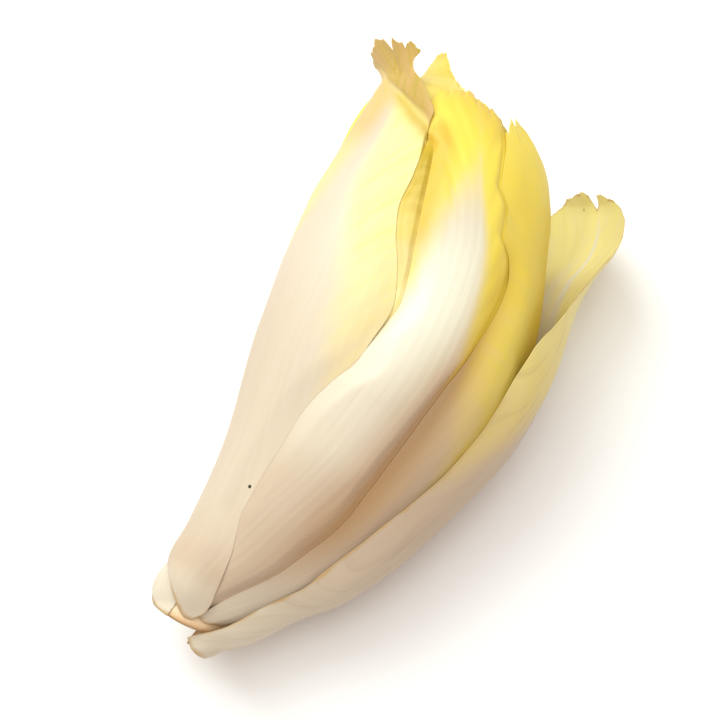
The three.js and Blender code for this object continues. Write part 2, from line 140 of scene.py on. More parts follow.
# %% [markdown]
# ## Curves through stations
# A leaf changes along its length: where its rib runs, how wide it is, how thick.  Each of these is a
# short list of stations, a distance and a value.  A plain spline could swing past the values between
# two stations, so this one flattens its slope wherever the values turn.  The other helpers are the
# small shapes that everything else is made of: a step, a bell, a soft minimum, a quarter round and a
# ripple.

# %% Helpers
WAVES_PER_OCTAVE = 3
OCTAVE_FADE = 0.55
PACE_SPREAD = (0.75, 1.3)


def along(stations, x):
    """A smooth curve through stations: on each span a cubic whose end slopes are the harmonic mean of
    the neighbouring slopes, or nothing where those have opposite signs, so it never overshoots."""
    if np.isscalar(stations):
        return np.full(np.shape(x), float(stations))
    place, value = np.asarray(stations, float).T
    width = np.diff(place)
    slope = np.diff(value) / width
    tangent = np.zeros_like(value)
    tangent[0], tangent[-1] = slope[0], slope[-1]
    product = slope[:-1] * slope[1:]
    total = np.where(product > 0, slope[:-1] + slope[1:], 1)
    tangent[1:-1] = np.where(product > 0, 2 * product / total, 0)
    held = np.clip(x, place[0], place[-1])
    i = np.clip(np.searchsorted(place, held, side="right") - 1, 0, len(width) - 1)
    t = (held - place[i]) / width[i]
    return (value[i] * (2 * t**3 - 3 * t**2 + 1) + value[i + 1] * (3 * t**2 - 2 * t**3)
            + width[i] * (tangent[i] * (t**3 - 2 * t**2 + t) + tangent[i + 1] * (t**3 - t**2)))


def smoothstep(low, high, x):
    """0 below low, 1 above high, and an S curve between them."""
    t = np.clip((x - low) / (high - low), 0, 1)
    return t * t * (3 - 2 * t)


def bell(x, middle, width):
    """A bell curve: 1 at the middle, falling to about a third at a distance of width."""
    return np.exp(-(((x - middle) / width) ** 2))


def soft_minimum(a, b, width):
    """The smaller of two values, rounded off where they meet."""
    share = np.clip(0.5 + 0.5 * (b - a) / width, 0, 1)
    return b * (1 - share) + a * share - width * share * (1 - share)


def quarter_round(t):
    """A quarter circle: 0 at 0 and 1 at 1, steep at first."""
    return np.sqrt(1 - (1 - np.clip(t, 0, 1)) ** 2)


def ripple(a, b, seed, octaves=4):
    """Smooth irregular waves over two coordinates, between about -1 and 1: a sum of sine waves that
    run in random directions, each finer one weaker."""
    draw = np.random.default_rng(seed)
    total = np.zeros(np.broadcast(a, b).shape)
    strength = 1.0
    for octave in range(octaves):
        for _ in range(WAVES_PER_OCTAVE):
            heading, phase = draw.uniform(0, 2 * np.pi, 2)
            pace = 2.0**octave * draw.uniform(*PACE_SPREAD)
            wave = np.sin(pace * (a * np.cos(heading) + b * np.sin(heading)) + phase)
            total += strength / WAVES_PER_OCTAVE * wave
        strength *= OCTAVE_FADE
    return total


print("the middle of a test curve:", along([[0, 0], [1, 1], [2, 1]], np.array([0.5, 1.5])))

# %% [markdown]
# ## The head's own frame
# A wrapped bud is easiest to describe round its own axis.  A point has a distance along the axis, an
# angle round it and a radius.  The axis leans up, because the belly is fatter than the base, and the
# middle line bows to one side.

# %% Place points round the axis
AXIS_TILT = radians(7)
AXIS_START = np.array([-63.71, 14.6, 19.5])
HEIGHT_RATIO = 0.9
BOW = [[-12, -2.5], [-6, -1.4], [0, 0.6], [13, 7.3], [39, 13.1], [60, 13.9], [80, 12.3], [96, 10],
       [107, 8.3], [118, 5.9], [128, 3.6], [142, 1]]
HALF_WIDTH = [[-9, 7.5], [-4, 10.5], [0, 12.4], [5, 14], [10, 15.6], [21.5, 20], [39, 25.6], [63, 31],
              [77.5, 31.8], [91.6, 31], [106, 28.4], [119, 25], [127.5, 20.4], [134, 13.5], [142, 6]]
CORE_RADIUS = [[-9, 6.8], [-8, 7.8], [-7, 8.3], [-5, 8.5], [-3, 8.5], [0, 8.2], [6, 8], [14, 7.4],
               [24, 5.6], [36, 3.2], [48, 1.2]]
CORE_END = CORE_RADIUS[-1][0]
LEAST_FALL = 0.05
FAR_AWAY = 1e3

AXIS = np.array([cos(AXIS_TILT), 0, sin(AXIS_TILT)])
UPWARD = np.array([-sin(AXIS_TILT), 0, cos(AXIS_TILT)])
SIDEWAYS = np.array([0, -1, 0])


def place_points(x, angle, radius):
    """Points in metres: along the axis by x, sideways by the bow and the radius times the sine of the
    angle, upwards by a flattened radius times its cosine, and never below the floor."""
    side = along(BOW, x) + radius * np.sin(np.radians(angle))
    up = radius * np.cos(np.radians(angle)) * HEIGHT_RATIO
    points = AXIS_START + x[..., None] * AXIS + side[..., None] * SIDEWAYS + up[..., None] * UPWARD
    points[..., 2] = np.maximum(points[..., 2], 0)
    return points * MM


def radius_at_floor(x, angle):
    """The radius at which a line from the axis at this angle meets the floor, or a large one."""
    fall = -np.cos(np.radians(angle)) * HEIGHT_RATIO * UPWARD[2]
    height = AXIS_START[2] + x * AXIS[2]
    return np.where(fall > LEAST_FALL, height / np.maximum(fall, LEAST_FALL), FAR_AWAY)


print("the axis starts at", AXIS_START, "mm")

# %% [markdown]
# ## The leaves
# Every leaf could be drawn by hand, but then its neighbours would have to be drawn to fit it.
# Here a leaf is a short record of measures, and the same formulas turn each record into a leaf.  The
# leaves are listed from the outermost to the innermost.  Lengths are in millimetres, angles in degrees
# round the axis, and a place across a leaf is a share s, from -1 at the near margin through 0 on the rib
# to 1 at the far one.  A list of pairs is a curve of stations along the axis.
#
# - `start`, `end`: where the leaf begins and ends; `grid`: its rows and columns of faces
# - `middle`, `near`, `far`: the angles of its rib and of its two margins
# - `rib`: how thick the rib is at the base and at the tip; `taper`, `edge_wall`: how far in from the edge
#   the blade begins to thin, and how thin it gets
# - `lift`, `round`, `near_round`: how far it stands out of the head, and how round its section is
# - `roll`, `fold`, `bumps`: margins that curl inwards, the fold along the head, and single bumps
# - `rise`, `ledge`, `gap`, `tuck`: how steeply the next leaves rise past its margin, after how long a
#   ledge, with what gap, and how softly this one is tucked under those outside it
# - `tip`, `tears`, `flag`: the rounding and the teeth of its end, the notches in it, and the line, across
#   the leaf, past which it has wilted and folded over
# - `heel`, `heel_round`, `heel_drop`: a curve across the leaf for its base end, and how that is rounded
# - `pale`, `faint`, `lean`: how much of each half is white flesh before the yellow blade begins, how much
#   paleness is left on the blade, and how far that curve of stations shifts from the near margin to the
#   rib; `midrib`: a pale streak on the inner face
# - `deep`, `valley`, `fresh`: shares of painted shade, a reddish darkening that near the base is also the
#   flesh's own tan, of the same in a streak, and of whiter flesh, partly painted light
# - `dry`: how strong its dried edge is; `golden`: a deeper yellow, darkened also as painted shade deep
#   among the other leaves; `slant`: how its side veins slant

# %% List the visible leaves
def alike(*stations):
    """The same stations for both halves of a leaf."""
    return dict(near=list(stations), far=list(stations))


LEAVES = [
    dict(name="leaf_loose", start=-11.8, end=132, rib=(4.8, 1.2), grid=(230, 170),
         middle=[[-11, 105], [-5, 112], [2, 122], [15, 129], [40, 122], [80, 125], [105, 130], [130, 124]],
         near=[[-11.5, 26], [-9.5, 35], [-6, 52], [-3, 58], [0, 61.5], [5, 66], [10, 65.5], [16, 62.5],
               [28, 62.2], [36, 65.5], [48, 70], [64, 70], [74, 68.5], [80, 68.5], [88, 74], [96, 83],
               [104, 91], [110, 95], [130, 102]],
         far=[[-11, 160], [-5, 172], [2, 186], [30, 200], [70, 202], [95, 178], [115, 152], [130, 146]],
         lift=[[-12, 2.4], [-8, 4], [-4, 5.3], [5, 5], [13, 6], [25, 5.2], [36, 4], [60, 5], [80, 7],
               [96, 9], [107, 13.5], [118, 21], [130, 26.5]],
         round=[[-11, 0.62], [0, 0.75], [15, 0.85], [60, 0.85], [90, 0.84], [110, 0.9]],
         near_round=[[-11, 0.62], [0, 0.75], [12, 0.8], [25, 0.78], [60, 0.78], [80, 0.82], [110, 0.9]],
         roll=dict(near=[[-11, 0], [-4, 1], [0, 1.6], [5, 2.6], [18, 2.9], [30, 2.2], [64, 2.2], [80, 1],
                         [90, 0]]),
         rise=[[-10, 0.5], [60, 0.5], [90, 0.9]],
         tip=dict(drop=7, power=3, middle=0, teeth=0.22, waves=3, fine=0.7),
         tears=[dict(s=-0.16, width=0.09, depth=2.6, power=0.6)],
         heel=[[-1, 2.2], [-0.8, 1.3], [-0.6, 0.3], [-0.4, -0.2], [0, 0.1], [1, 1.4]],
         pale=alike([30, 1.2], [60, 0.7], [80, 0.3], [105, 0], [130, -0.3]),
         faint=[[30, 0.6], [90, 0.5], [125, 0.5]],
         midrib=dict(s=-0.2, width=[[88, 0.22], [104, 0.1], [112, 0.06]],
                     share=[[80, 0], [90, 0.9], [120, 0.9], [129, 0.6]]),
         deep=alike([-5, 0], [5, 0.25], [20, 0.6], [40, 0.8], [60, 0.7], [75, 0.4], [95, 0]),
         fresh=alike([80, 0], [104, 0.6], [130, 0.6]),
         dry=[[-9, 1], [35, 1], [50, 0.3], [90, 0.2], [101, 1.6], [118, 1.2]]),
    dict(name="leaf_left", start=-6.7, end=134.2, rib=(4.5, 1.2), grid=(230, 170),
         middle=[[-5, -40], [30, -50], [60, -48], [90, -42], [118, -36], [128, -48], [135, -58]],
         near=[[-5, -110], [20, -112], [60, -108], [90, -96], [118, -78], [128, -74], [135, -96]],
         far=[[-5, 24], [-3, 23], [2, 12], [8, -3], [14, -15], [20, -22.5], [28, -23.5], [36, -21.5],
              [44, -18], [52, -11], [58, -4.5], [64, -2], [72, 1], [80, -2.5], [88, -8.5], [95, -11],
              [102, -10], [116, -10], [118.5, -9.5], [122.2, -14.2], [125.7, -21.5], [128.4, -29],
              [130, -30], [132.4, -25.5], [135, -24]],
         lift=[[-8, 1.8], [0, 2], [10, 1.7], [22, 0.9], [40, 0.5], [118, 0], [127, 1.5], [135, 15]],
         round=0.88,
         roll=dict(far=[[0, 0], [15, 0.4], [40, 0.5], [60, 0.4], [80, 0.4], [95, 0.3], [110, 0]]),
         rise=[[-6, 0.25], [58, 0.3], [68, 0.6], [78, 0.9]],
         ledge=[[-6, 0.05], [72, 0.1], [82, 0.7]],
         gap=[[-6, 0.02], [110, 0.02], [118, 0.06]],
         edge_wall=[[-6, 0.03], [110, 0.03], [118, 0.1]],
         tip=dict(drop=2.6, power=2.5, middle=0.1, teeth=0.35, waves=3, fine=0.5),
         tears=[dict(s=0.22, width=0.13, depth=1.7, power=1), dict(s=0.62, width=0.05, depth=0.8, power=1)],
         flag=[[-1, 131], [-0.68, 130.2], [-0.29, 126.4], [0.06, 123.3], [0.23, 122.2], [0.58, 119.1],
               [0.95, 116.5], [1, 112]],
         heel=[[-1, 24], [-0.6, 17], [-0.26, 11.2], [0.05, 7.3], [0.27, 4.7], [0.55, 1.7], [0.75, 0.7],
               [0.88, 0.8], [1, 2.6]],
         heel_round=4, heel_drop=1.8,
         bumps=[dict(x=125, length=7, s=1, width=0.45, height=3)],
         pale=dict(near=[[42, 1.3], [60, 0.8], [80, 0.4], [93, 0.16], [110, 0.1], [120, 0]],
                   far=[[20, 1.2], [38, 1.15], [50, 0.85], [62, 0.5], [86, 0.3], [100, 0.1], [125, 0.0]]),
         faint=[[20, 0.85], [45, 0.78], [70, 0.65], [84, 0.59], [100, 0.6], [118, 0.56], [127, 0.5]],
         deep=dict(near=[[-5, 0], [0, 0.3], [6, 0.8], [20, 0.5], [60, 0.6], [75, 0.4], [90, 0.35],
                         [104, 0.5], [114, 1], [126, 1]],
                   far=[[-5, 0], [0, 0.3], [6, 0.8], [14, 0.5], [25, 0.35], [60, 0.35], [80, 0.1],
                        [120, 0]]),
         dry=[[-5, 0.3], [5, 0], [105, 0], [124, 1]]),
    dict(name="leaf_under", start=-2, end=128, rib=(4.5, 1.2), grid=(150, 90),
         middle=[[-3, 190], [60, 195], [120, 190]],
         near=[[-3, 135], [60, 140], [120, 150]],
         far=[[-3, 225], [15, 240], [60, 250], [120, 232]],
         lift=[[-3, 0], [60, -0.5], [128, 0]], round=0.9,
         tip=dict(drop=14, power=2.4, middle=0, teeth=0.5, waves=3),
         pale=alike([30, 1.2], [60, 0.6], [100, 0.2])),
    dict(name="leaf_back", start=-6.8, end=131, rib=(4.5, 1.2), grid=(190, 120),
         middle=[[-5, -95], [20, -108], [60, -112], [128, -100]],
         near=[[-5, -150], [15, -160], [60, -172], [128, -140]],
         far=[[-5, -15], [10, -30], [60, -50], [128, -62]],
         lift=0, round=0.9,
         tip=dict(drop=14, power=2.4, middle=0, teeth=0.5, waves=3),
         heel=[[-1, 11], [-0.4, 6.5], [0, 4], [0.2, 2.9], [0.4, 1.2], [0.6, 0.3], [1, -0.6]],
         pale=alike([30, 1.2], [60, 0.6], [100, 0.2])),
    dict(name="leaf_strip", start=19, end=130, rib=(4, 1.2), grid=(190, 120),
         middle=[[0, -40], [60, -38], [134, -24]],
         near=[[0, -90], [60, -90], [134, -44]],
         far=[[14, -44], [34, -40], [48, -28], [57, -13], [66, -2], [74, 3.5], [88, 0.5], [106, -3.5],
              [112, -5.5], [118, -11], [124, -17], [134, -24]],
         lift=-0.3, round=0.9,
         rise=[[60, 0.3], [80, 0.5]], ledge=0.1, gap=0.02, edge_wall=0.03, taper=1.2,
         tip=dict(drop=10.5, power=1, middle=-0.8, teeth=0.37, waves=3),
         pale=dict(near=[[30, 1.2], [60, 0.5], [100, -0.3]], far=[[30, 1], [60, 0.5], [100, -0.3]]),
         faint=[[60, 0.7], [85, 0.45], [100, 0.1], [108, 0]],
         deep=alike([74, 0], [84, 0.4], [106, 0.4], [118, 0.45]), golden=1),
    dict(name="leaf_right", start=-5.2, end=130.8, rib=(4, 1.2), grid=(220, 150),
         middle=[[-5, 66], [6, 78], [40, 84], [90, 88], [130, 62]],
         near=[[-5, 22], [5, 31], [12, 35.5], [18, 37.5], [25, 40], [36, 36.5], [52, 36], [60, 37],
               [66, 39.7], [72, 44], [78, 47], [84, 49.5], [90, 50.5], [95, 47.5], [99, 40], [105, 40],
               [110, 33], [122, 34], [130, 33]],
         far=[[-5, 120], [4, 140], [60, 146], [130, 100]],
         lift=[[0, -0.3], [12, -1], [25, -1.8], [40, -2], [55, -1.2], [70, -0.3], [85, 0], [100, 0],
               [115, 0.8], [125, 1]],
         round=[[0, 0.9], [60, 0.92], [130, 0.95]], fold=1, slant=0.25,
         tip=dict(drop=8, power=2.4, middle=0, teeth=0.81, waves=4),
         heel=[[-1, 0.8], [-0.7, 0], [-0.2, 1.2], [0.3, 3.5], [1, 7.5]],
         pale=dict(near=-0.3, far=-0.3), lean=45,
         faint=[[8, 1], [22, 0.88], [31, 0.6], [40, 0.35], [55, 0.2], [75, 0.05]],
         deep=dict(near=[[5, 0.2], [15, 0.6], [25, 0.85], [35, 0.9], [60, 0.75], [72, 0.5], [84, 0.42],
                         [105, 0.3], [120, 0.1]],
                   far=[[5, 0.2], [15, 0.6], [25, 0.85], [35, 0.9], [60, 0.8], [72, 0.6], [84, 0.3],
                        [105, 0.3], [120, 0.1]])),
    dict(name="leaf_middle", start=-3.6, end=129.9, rib=(4.5, 1.2), grid=(220, 150),
         middle=[[3, 10], [20, 13], [40, 20], [64, 25], [90, 27], [110, 20], [133, 14]],
         near=[[-3, -12], [3, -16], [10, -28], [20, -38], [60, -30], [133, -12]],
         far=[[3, 70], [60, 70], [133, 44]],
         lift=[[0, -0.3], [30, 0.3], [70, 0.5], [110, 0], [133, -1]], fold=1,
         round=[[0, 0.75], [30, 0.66], [50, 0.6], [95, 0.6], [115, 0.7], [135, 0.9]], near_round=0.9,
         tuck=[[-4, 0.3], [60, 0.4], [80, 1.2]], taper=3,
         tip=dict(drop=5.5, power=1.7, middle=-0.2, teeth=0.5, waves=4),
         heel=[[-1, 1], [0, 0], [0.25, 1.5], [0.45, 5], [1, 9]],
         pale=dict(near=[[30, 1.2], [76, 0.45], [90, 0.4], [100, 0.27], [117, -0.15]],
                   far=[[28, 1], [42, 0.6], [60, 0.32], [75, 0.17], [88, 0.06], [103, -0.12],
                        [119, -0.15]]),
         faint=[[40, 0.5], [58, 0.2], [90, 0.05], [125, 0.05]],
         deep=dict(near=[[0, 0.9], [10, 0.8], [20, 0.75], [30, 0.65], [40, 0.2], [50, 0], [85, 0],
                         [98, 0.2], [115, 0.2], [122, 0.4], [129, 0.8]],
                   far=[[0, 0.9], [10, 0.9], [20, 1], [30, 1.3], [40, 1.15], [50, 1.1], [60, 1.1],
                        [70, 0.5], [80, 0], [105, 0.05], [115, 0.1], [121, 0.4], [128, 0.8]]),
         # painted shade: a reddish darkening in a streak along the valley beside the strip leaf
         valley=dict(s=-0.63, width=0.26, share=[[74, 0], [84, 0.7], [92, 1.3], [112, 1.4], [120, 0.3]]),
         fresh=dict(near=[[52, 0], [65, 0.7], [75, 1], [85, 0.9], [97, 0.4], [108, 0]],
                    far=[[52, 0], [65, 0.7], [75, 1], [90, 1], [100, 0.5], [110, 0]])),
    dict(name="leaf_inner_left", start=20, end=141.5, rib=(3.6, 1.1), grid=(170, 110),
         middle=[[8, -20], [120, -12], [142, -60]],
         near=[[8, -80], [120, -60], [142, -95]],
         far=[[8, 40], [105, 34], [142, -20]],
         lift=[[8, -3], [80, -4], [130, -2], [142, 4]], round=0.9,
         tip=dict(drop=9, power=2.2, middle=-0.15, teeth=0.5, waves=3),
         pale=alike([60, 1], [90, 0.3], [110, -0.3]),
         faint=[[105, 0.1], [122, 0.3], [131, 0.3], [135, 0.1]], golden=1),
    dict(name="leaf_inner_right", start=22, end=132.2, rib=(3.6, 1.1), grid=(150, 90),
         middle=[[10, 50], [134, 30]], near=[[10, -10], [134, -20]], far=[[10, 110], [134, 70]],
         lift=[[8, -3], [80, -4], [134, -1]], round=0.9,
         tip=dict(drop=7.2, power=1.14, middle=-0.75, teeth=0.62, waves=3),
         pale=alike([60, 1], [90, 0.3], [110, -0.3]),
         faint=[[112, 0], [122, 0.35], [132, 0.45]], golden=1),
]
print("visible leaves:", len(LEAVES))

# %% [markdown]
# Deeper in, the leaves are packed by the plant's own rule: each new one is turned 137.5 degrees from
# the last.  A loop places them, every one a little deeper, shorter and narrower; each step is the
# change from one leaf to the next.

# %% List the heart leaves
HEART_LEAVES = 9
GOLDEN_TURN = 137.5
HEART_FIRST_ANGLE = 165
HEART_START, START_STEP = 29, 3.3
HEART_END, END_STEP = 127, -3.8
HEART_HALF_ANGLE, HALF_ANGLE_STEP = 72, -4
HEART_LIFT = [[10, -4, -0.5], [60, -6, -2.2], [100, -6, -2], [130, -5, -0.5]]

for i in range(HEART_LEAVES):
    turn = HEART_FIRST_ANGLE + i * GOLDEN_TURN
    half_angle = HEART_HALF_ANGLE + HALF_ANGLE_STEP * i
    LEAVES.append(dict(
        name=f"leaf_heart_{i + 1}", start=HEART_START + START_STEP * i, end=HEART_END + END_STEP * i,
        middle=turn, near=turn - half_angle, far=turn + half_angle, rib=(4, 1.1), grid=(70, 40),
        lift=[[station, first + step * i] for station, first, step in HEART_LIFT], round=0.92,
        tip=dict(drop=9, power=2.4, middle=0, teeth=0.5, waves=3),
        pale=alike([50, 1], [90, 0.2], [110, -0.3]), golden=1))
for order, leaf in enumerate(LEAVES):
    leaf["order"] = order
print("leaves in all:", len(LEAVES))

# %% [markdown]
# ## One leaf's formulas
# Two coordinates run over a leaf: `x` along the head's axis, and `s` across, from -1 at the near margin
# through 0 on the rib to 1 at the far one.  The outline, the thickness and the section are each a
# formula of those two.  First the outline: the margins come from the stations, and the ragged end is a
# rounded curve with small waves on it, because teeth cut by hand would all look alike.

# %% The outline
LEAST_HALF_ANGLE = 0.001
TEETH = [[2.1, 1, 1], [4.7, 0.7, 1.8], [9.1, 0.5, 3.1]]
FINE_TEETH = [[21, 0.35, 2.3], [37, 0.25, 4.1], [63, 0.15, 5.9]]
TEETH_SHIFT = 1.7


def across_at(leaf, x, angle):
    """How far an angle is from the rib, as a share s of that half's width, in degrees, and the width."""
    middle = along(leaf["middle"], x)
    from_rib = (angle - middle + 180) % 360 - 180
    width = np.where(from_rib < 0, middle - along(leaf["near"], x), along(leaf["far"], x) - middle)
    return from_rib / np.maximum(width, LEAST_HALF_ANGLE), from_rib, width


def angle_at(leaf, x, s):
    """The angle at a share s of the way from the rib to a margin."""
    middle = along(leaf["middle"], x)
    return middle + s * np.where(s < 0, middle - along(leaf["near"], x), along(leaf["far"], x) - middle)


def tip_at(leaf, s):
    """Where the leaf ends: its full length less a power of the distance from the tip's middle, plus
    ragged teeth, which are sine waves of several paces, less any tears."""
    tip = leaf["tip"]
    across = np.clip(s, -1, 1)
    phase = leaf["order"] * TEETH_SHIFT

    def sum_of(teeth):
        return sum(share * np.sin(across * tip["waves"] * pace + phase * turn) for pace, share, turn in teeth)

    ragged = sum_of(TEETH) + tip.get("fine", 1) * sum_of(FINE_TEETH)
    rounding = tip["drop"] * np.abs(across - tip["middle"]) ** tip["power"]
    ends = leaf["end"] - rounding + tip["teeth"] * ragged
    for tear in leaf.get("tears", []):
        nearness = np.clip(1 - np.abs(across - tear["s"]) / tear["width"], 0, 1)
        ends -= tear["depth"] * nearness ** tear["power"]
    return ends


def heel_at(leaf, s):
    """Where it starts: a curve through the stations of `heel` from the near to the far margin."""
    return leaf["start"] + along(leaf.get("heel", 0.0), s)


print("the left leaf's rib ends at", round(float(tip_at(LEAVES[1], np.array(0.0))), 1), "mm")

# %% [markdown]
# A leaf of endive is mostly rib: thick, watery flesh near the base, thinning towards the tip and towards
# the margins.  One even wall would make it look like paper or like rubber, so the thickness is a formula
# too.  The distance from the nearest edge is needed for the fine margin, and later for the finish.

# %% The thickness
LEAST_WALL = 0.6
BASE_SHARE = 0.3
RIB_TAPER = 1.4
RIB_WIDTH = 0.75
RIB_NARROWING = 0.72
RIB_NARROWS = (0.05, 0.85)
RIB_SHOULDER = 2.2


def thickness_at(leaf, x, s):
    """A fleshy rib, a bell across the leaf that narrows and thins towards the tip, on a thin blade."""
    u = np.clip((x - leaf["start"]) / (leaf["end"] - leaf["start"]), 0, 1)
    at_base, at_tip = leaf["rib"]
    room = BASE_SHARE * (along(HALF_WIDTH, x) + along(leaf["lift"], x) - along(CORE_RADIUS, x))
    rib = np.minimum(at_tip + (at_base - at_tip) * (1 - u) ** RIB_TAPER, np.maximum(room, LEAST_WALL))
    rib_width = RIB_WIDTH * (1 - RIB_NARROWING * smoothstep(*RIB_NARROWS, u))
    return LEAST_WALL + np.maximum(rib - LEAST_WALL, 0) * np.exp(-((np.abs(s) / rib_width) ** RIB_SHOULDER))


def margin_distance(leaf, x, s, radius):
    """How many millimetres a place is from the leaf's nearest edge, measured across and towards the tip."""
    _, _, width = across_at(leaf, x, angle_at(leaf, x, s))
    sideways = (1 - np.abs(s)) * np.radians(width) * radius
    return np.maximum(np.minimum(sideways, tip_at(leaf, s) - x), 0)


loose_rib = thickness_at(LEAVES[0], np.array(20.0), np.array(0.0))
print("the loose leaf's rib, 20 mm from the base:", float(loose_rib.round(2)), "mm thick")

# %% [markdown]
# The white flesh ends and the yellow blade begins along a soft border, which often lies differently on
# the two halves of a leaf.  Switching from one half's stations to the other's on the rib would draw a
# line there, so the two are blended over it.

# %% Flesh and blade
RIB_BLEND = 0.3
PALE_BORDER_INSIDE = 0.2
PALE_BORDER_OUTSIDE = 0.3


def two_sided(leaf, key, x, s):
    """A value with one curve of stations for each half of the leaf, blended over the rib."""
    if key not in leaf:
        return np.zeros_like(x)
    over = smoothstep(-RIB_BLEND, RIB_BLEND, s)
    return along(leaf[key]["near"], x) * (1 - over) + along(leaf[key]["far"], x) * over


def paleness(leaf, x, s):
    """1 on the white fleshy part, falling to `faint` on the blade, with a soft border at the stations
    of `pale`."""
    border = two_sided(leaf, "pale", x, s)
    blade = smoothstep(border - PALE_BORDER_INSIDE, border + PALE_BORDER_OUTSIDE, np.abs(s))
    return 1 - (1 - along(leaf.get("faint", 0.0), x + leaf.get("lean", 0) * s)) * blade


print("the loose leaf's paleness at 60 mm, on the rib:",
      round(float(paleness(LEAVES[0], np.array(60.0), np.array(0.0))), 2))

# %% [markdown]
# The surface of a fresh leaf isn't smooth.  Side veins leave the rib at a slant and press little valleys
# into the blade, the rib itself is finely ribbed along its length, and the whole leaf waves slightly.
# Where a tip has wilted and folded over, it stands a step proud of a shallow hollow.  All of it could be
# drawn as shading, but it is added to the radius here, so that it is real shape.

# %% Relief
WANDER_LENGTH = 9.0
WANDER_SEED = 40
VEIN_PITCH = 10.12
VEIN_SLANT = 2.0
VEIN_DEPTH = 0.08
VEIN_WANDER = 1.9
VEIN_SHARPNESS = 0.4
VEINS_BEGIN = (0.02, 0.3)
RIBBING_PITCH = 2.3
RIBBING_DEPTH = 0.02
RIBBING_WANDER = 1.5
SWELL = 0.35
SWELL_LENGTH = 14.0
SWELL_SEED = 80
SWELL_BEGINS = (8, 40)
FLAG_STEP = 0.4
FLAG_RAMP = (-0.4, 0.8)
FLAG_HOLLOW = 0.9
FLAG_HOLLOW_AT = -1.2
FLAG_HOLLOW_WIDTH = 2


def past_flag(leaf, x, s):
    """How many millimetres a place lies beyond the line where the leaf's wilted end folds over."""
    return x - along(leaf["flag"], s) if "flag" in leaf else np.full(np.shape(x), -FAR_AWAY)


def relief(leaf, x, s, across):
    """Millimetres to add to the radius: sine valleys along slanting veins on the blade, fine ridges
    along the rib, slow swells all over, the step and the hollow of a folded tip, and the leaf's own
    bumps, which are bells in x and s."""
    wander = ripple(x / WANDER_LENGTH, across / WANDER_LENGTH, WANDER_SEED + leaf["order"], 3)
    over_vein = x - leaf.get("slant", VEIN_SLANT) * np.abs(across)
    vein = np.sin(over_vein * 2 * np.pi / VEIN_PITCH + VEIN_WANDER * wander)
    vein = (vein - VEIN_SHARPNESS * np.abs(vein)) * smoothstep(*VEINS_BEGIN, np.abs(s))
    ridges = np.sin(across * 2 * np.pi / RIBBING_PITCH + RIBBING_WANDER * wander)
    swell = ripple(x / SWELL_LENGTH, across / SWELL_LENGTH, SWELL_SEED + leaf["order"], 2)
    pale = paleness(leaf, x, s)
    beyond = past_flag(leaf, x, s)
    hollow = bell(beyond, FLAG_HOLLOW_AT, FLAG_HOLLOW_WIDTH) * smoothstep(-RIB_BLEND, RIB_BLEND, s)
    total = (VEIN_DEPTH * (1 - pale) * vein + RIBBING_DEPTH * pale * ridges
             + SWELL * swell * smoothstep(*SWELL_BEGINS, x)
             + FLAG_STEP * smoothstep(*FLAG_RAMP, beyond) - FLAG_HOLLOW * hollow)
    for bump in leaf.get("bumps", []):
        over_bump = bell(x, bump["x"], bump["length"]) * bell(s, bump["s"], bump["width"])
        total = total + bump["height"] * over_bump
    return total


print("veins are", VEIN_DEPTH, "mm deep")

# %% [markdown]
# ## The shape that a leaf would like
# Alone, a leaf would be a gutter with a round section.  Its margins may curl inwards, and a fold along
# the head makes the valley between the two leaves on the right.  A circle inside the head's own circle,
# touching it at the rib, gives the gutter with a single number for how round it is.

# %% The free shape
ROLL_WIDTH = 8.0
FOLD_ANGLE = [[5, 38], [15, 40], [25, 42], [39, 44], [49, 45], [59, 45], [70, 47], [79, 47], [90, 49],
              [100, 50]]
FOLD_DEPTH = [[15, 0], [25, 0.4], [40, 1.2], [55, 2.4], [70, 2.8], [85, 2], [100, 0.5]]
FOLD_WIDTH = 4.6
LEAST_UNDER_ROOT = 1


def rolled_down(leaf, x, s, width, radius):
    """How far a margin is rolled inwards: a parabola over the last few millimetres of the blade."""
    roll = leaf.get("roll", {})
    depth = np.where(s < 0, along(roll.get("near", 0.0), x), along(roll.get("far", 0.0), x))
    from_margin = (1 - np.abs(s)) * np.radians(width) * radius
    return depth * np.clip(1 - from_margin / ROLL_WIDTH, 0, 1) ** 2


def fold_depth(x, angle):
    """How deep the valley between the two right-hand leaves is: a bell across a line along the head."""
    from_line = np.radians(angle - along(FOLD_ANGLE, x)) * along(HALF_WIDTH, x)
    return along(FOLD_DEPTH, x) * bell(from_line, 0, FOLD_WIDTH)


def free_radius(leaf, x, angle):
    """The outer face if nothing lay over it: a circle smaller than the head's that touches it at the
    rib, less the roll of its margins and the fold, plus the relief."""
    s, from_rib, width = across_at(leaf, x, angle)
    peak = along(HALF_WIDTH, x) + along(leaf["lift"], x)
    far_round = along(leaf["round"], x)
    own = peak * np.where(from_rib < 0, along(leaf.get("near_round", leaf["round"]), x), far_round)
    turn = np.radians(from_rib)
    under_root = np.maximum(own**2 - ((peak - own) * np.sin(turn)) ** 2, LEAST_UNDER_ROOT)
    section = (peak - own) * np.cos(turn) + np.sqrt(under_root)
    return (section - rolled_down(leaf, x, s, width, peak) - leaf.get("fold", 0) * fold_depth(x, angle)
            + relief(leaf, x, np.clip(s, -1, 1), turn * section))


print("the fold is at most", max(depth for _, depth in FOLD_DEPTH), "mm deep")

# %% [markdown]
# ## How the leaves lie on each other
# Simulating a packed bud would be slow and hard to steer.  Instead, each leaf has a ceiling: the inner
# faces of all the leaves outside it.  Where a leaf outside covers the place, it is tucked under; past
# that leaf's margin the ceiling runs level over a short ledge and then rises, more and more steeply.

# %% Lay each leaf under the others
GAP = 0.06
RISE = 0.9
LEDGE = 0.7
STEEPENING = 0.03
TUCK = 1.6
LEAST_RADIUS = 6


def tucked_radius(leaf, x, angle, ceiling):
    """The free radius, softly held below the ceiling and never below the floor."""
    free = soft_minimum(free_radius(leaf, x, angle), ceiling, along(leaf.get("tuck", TUCK), x))
    return np.minimum(free, radius_at_floor(x, angle))


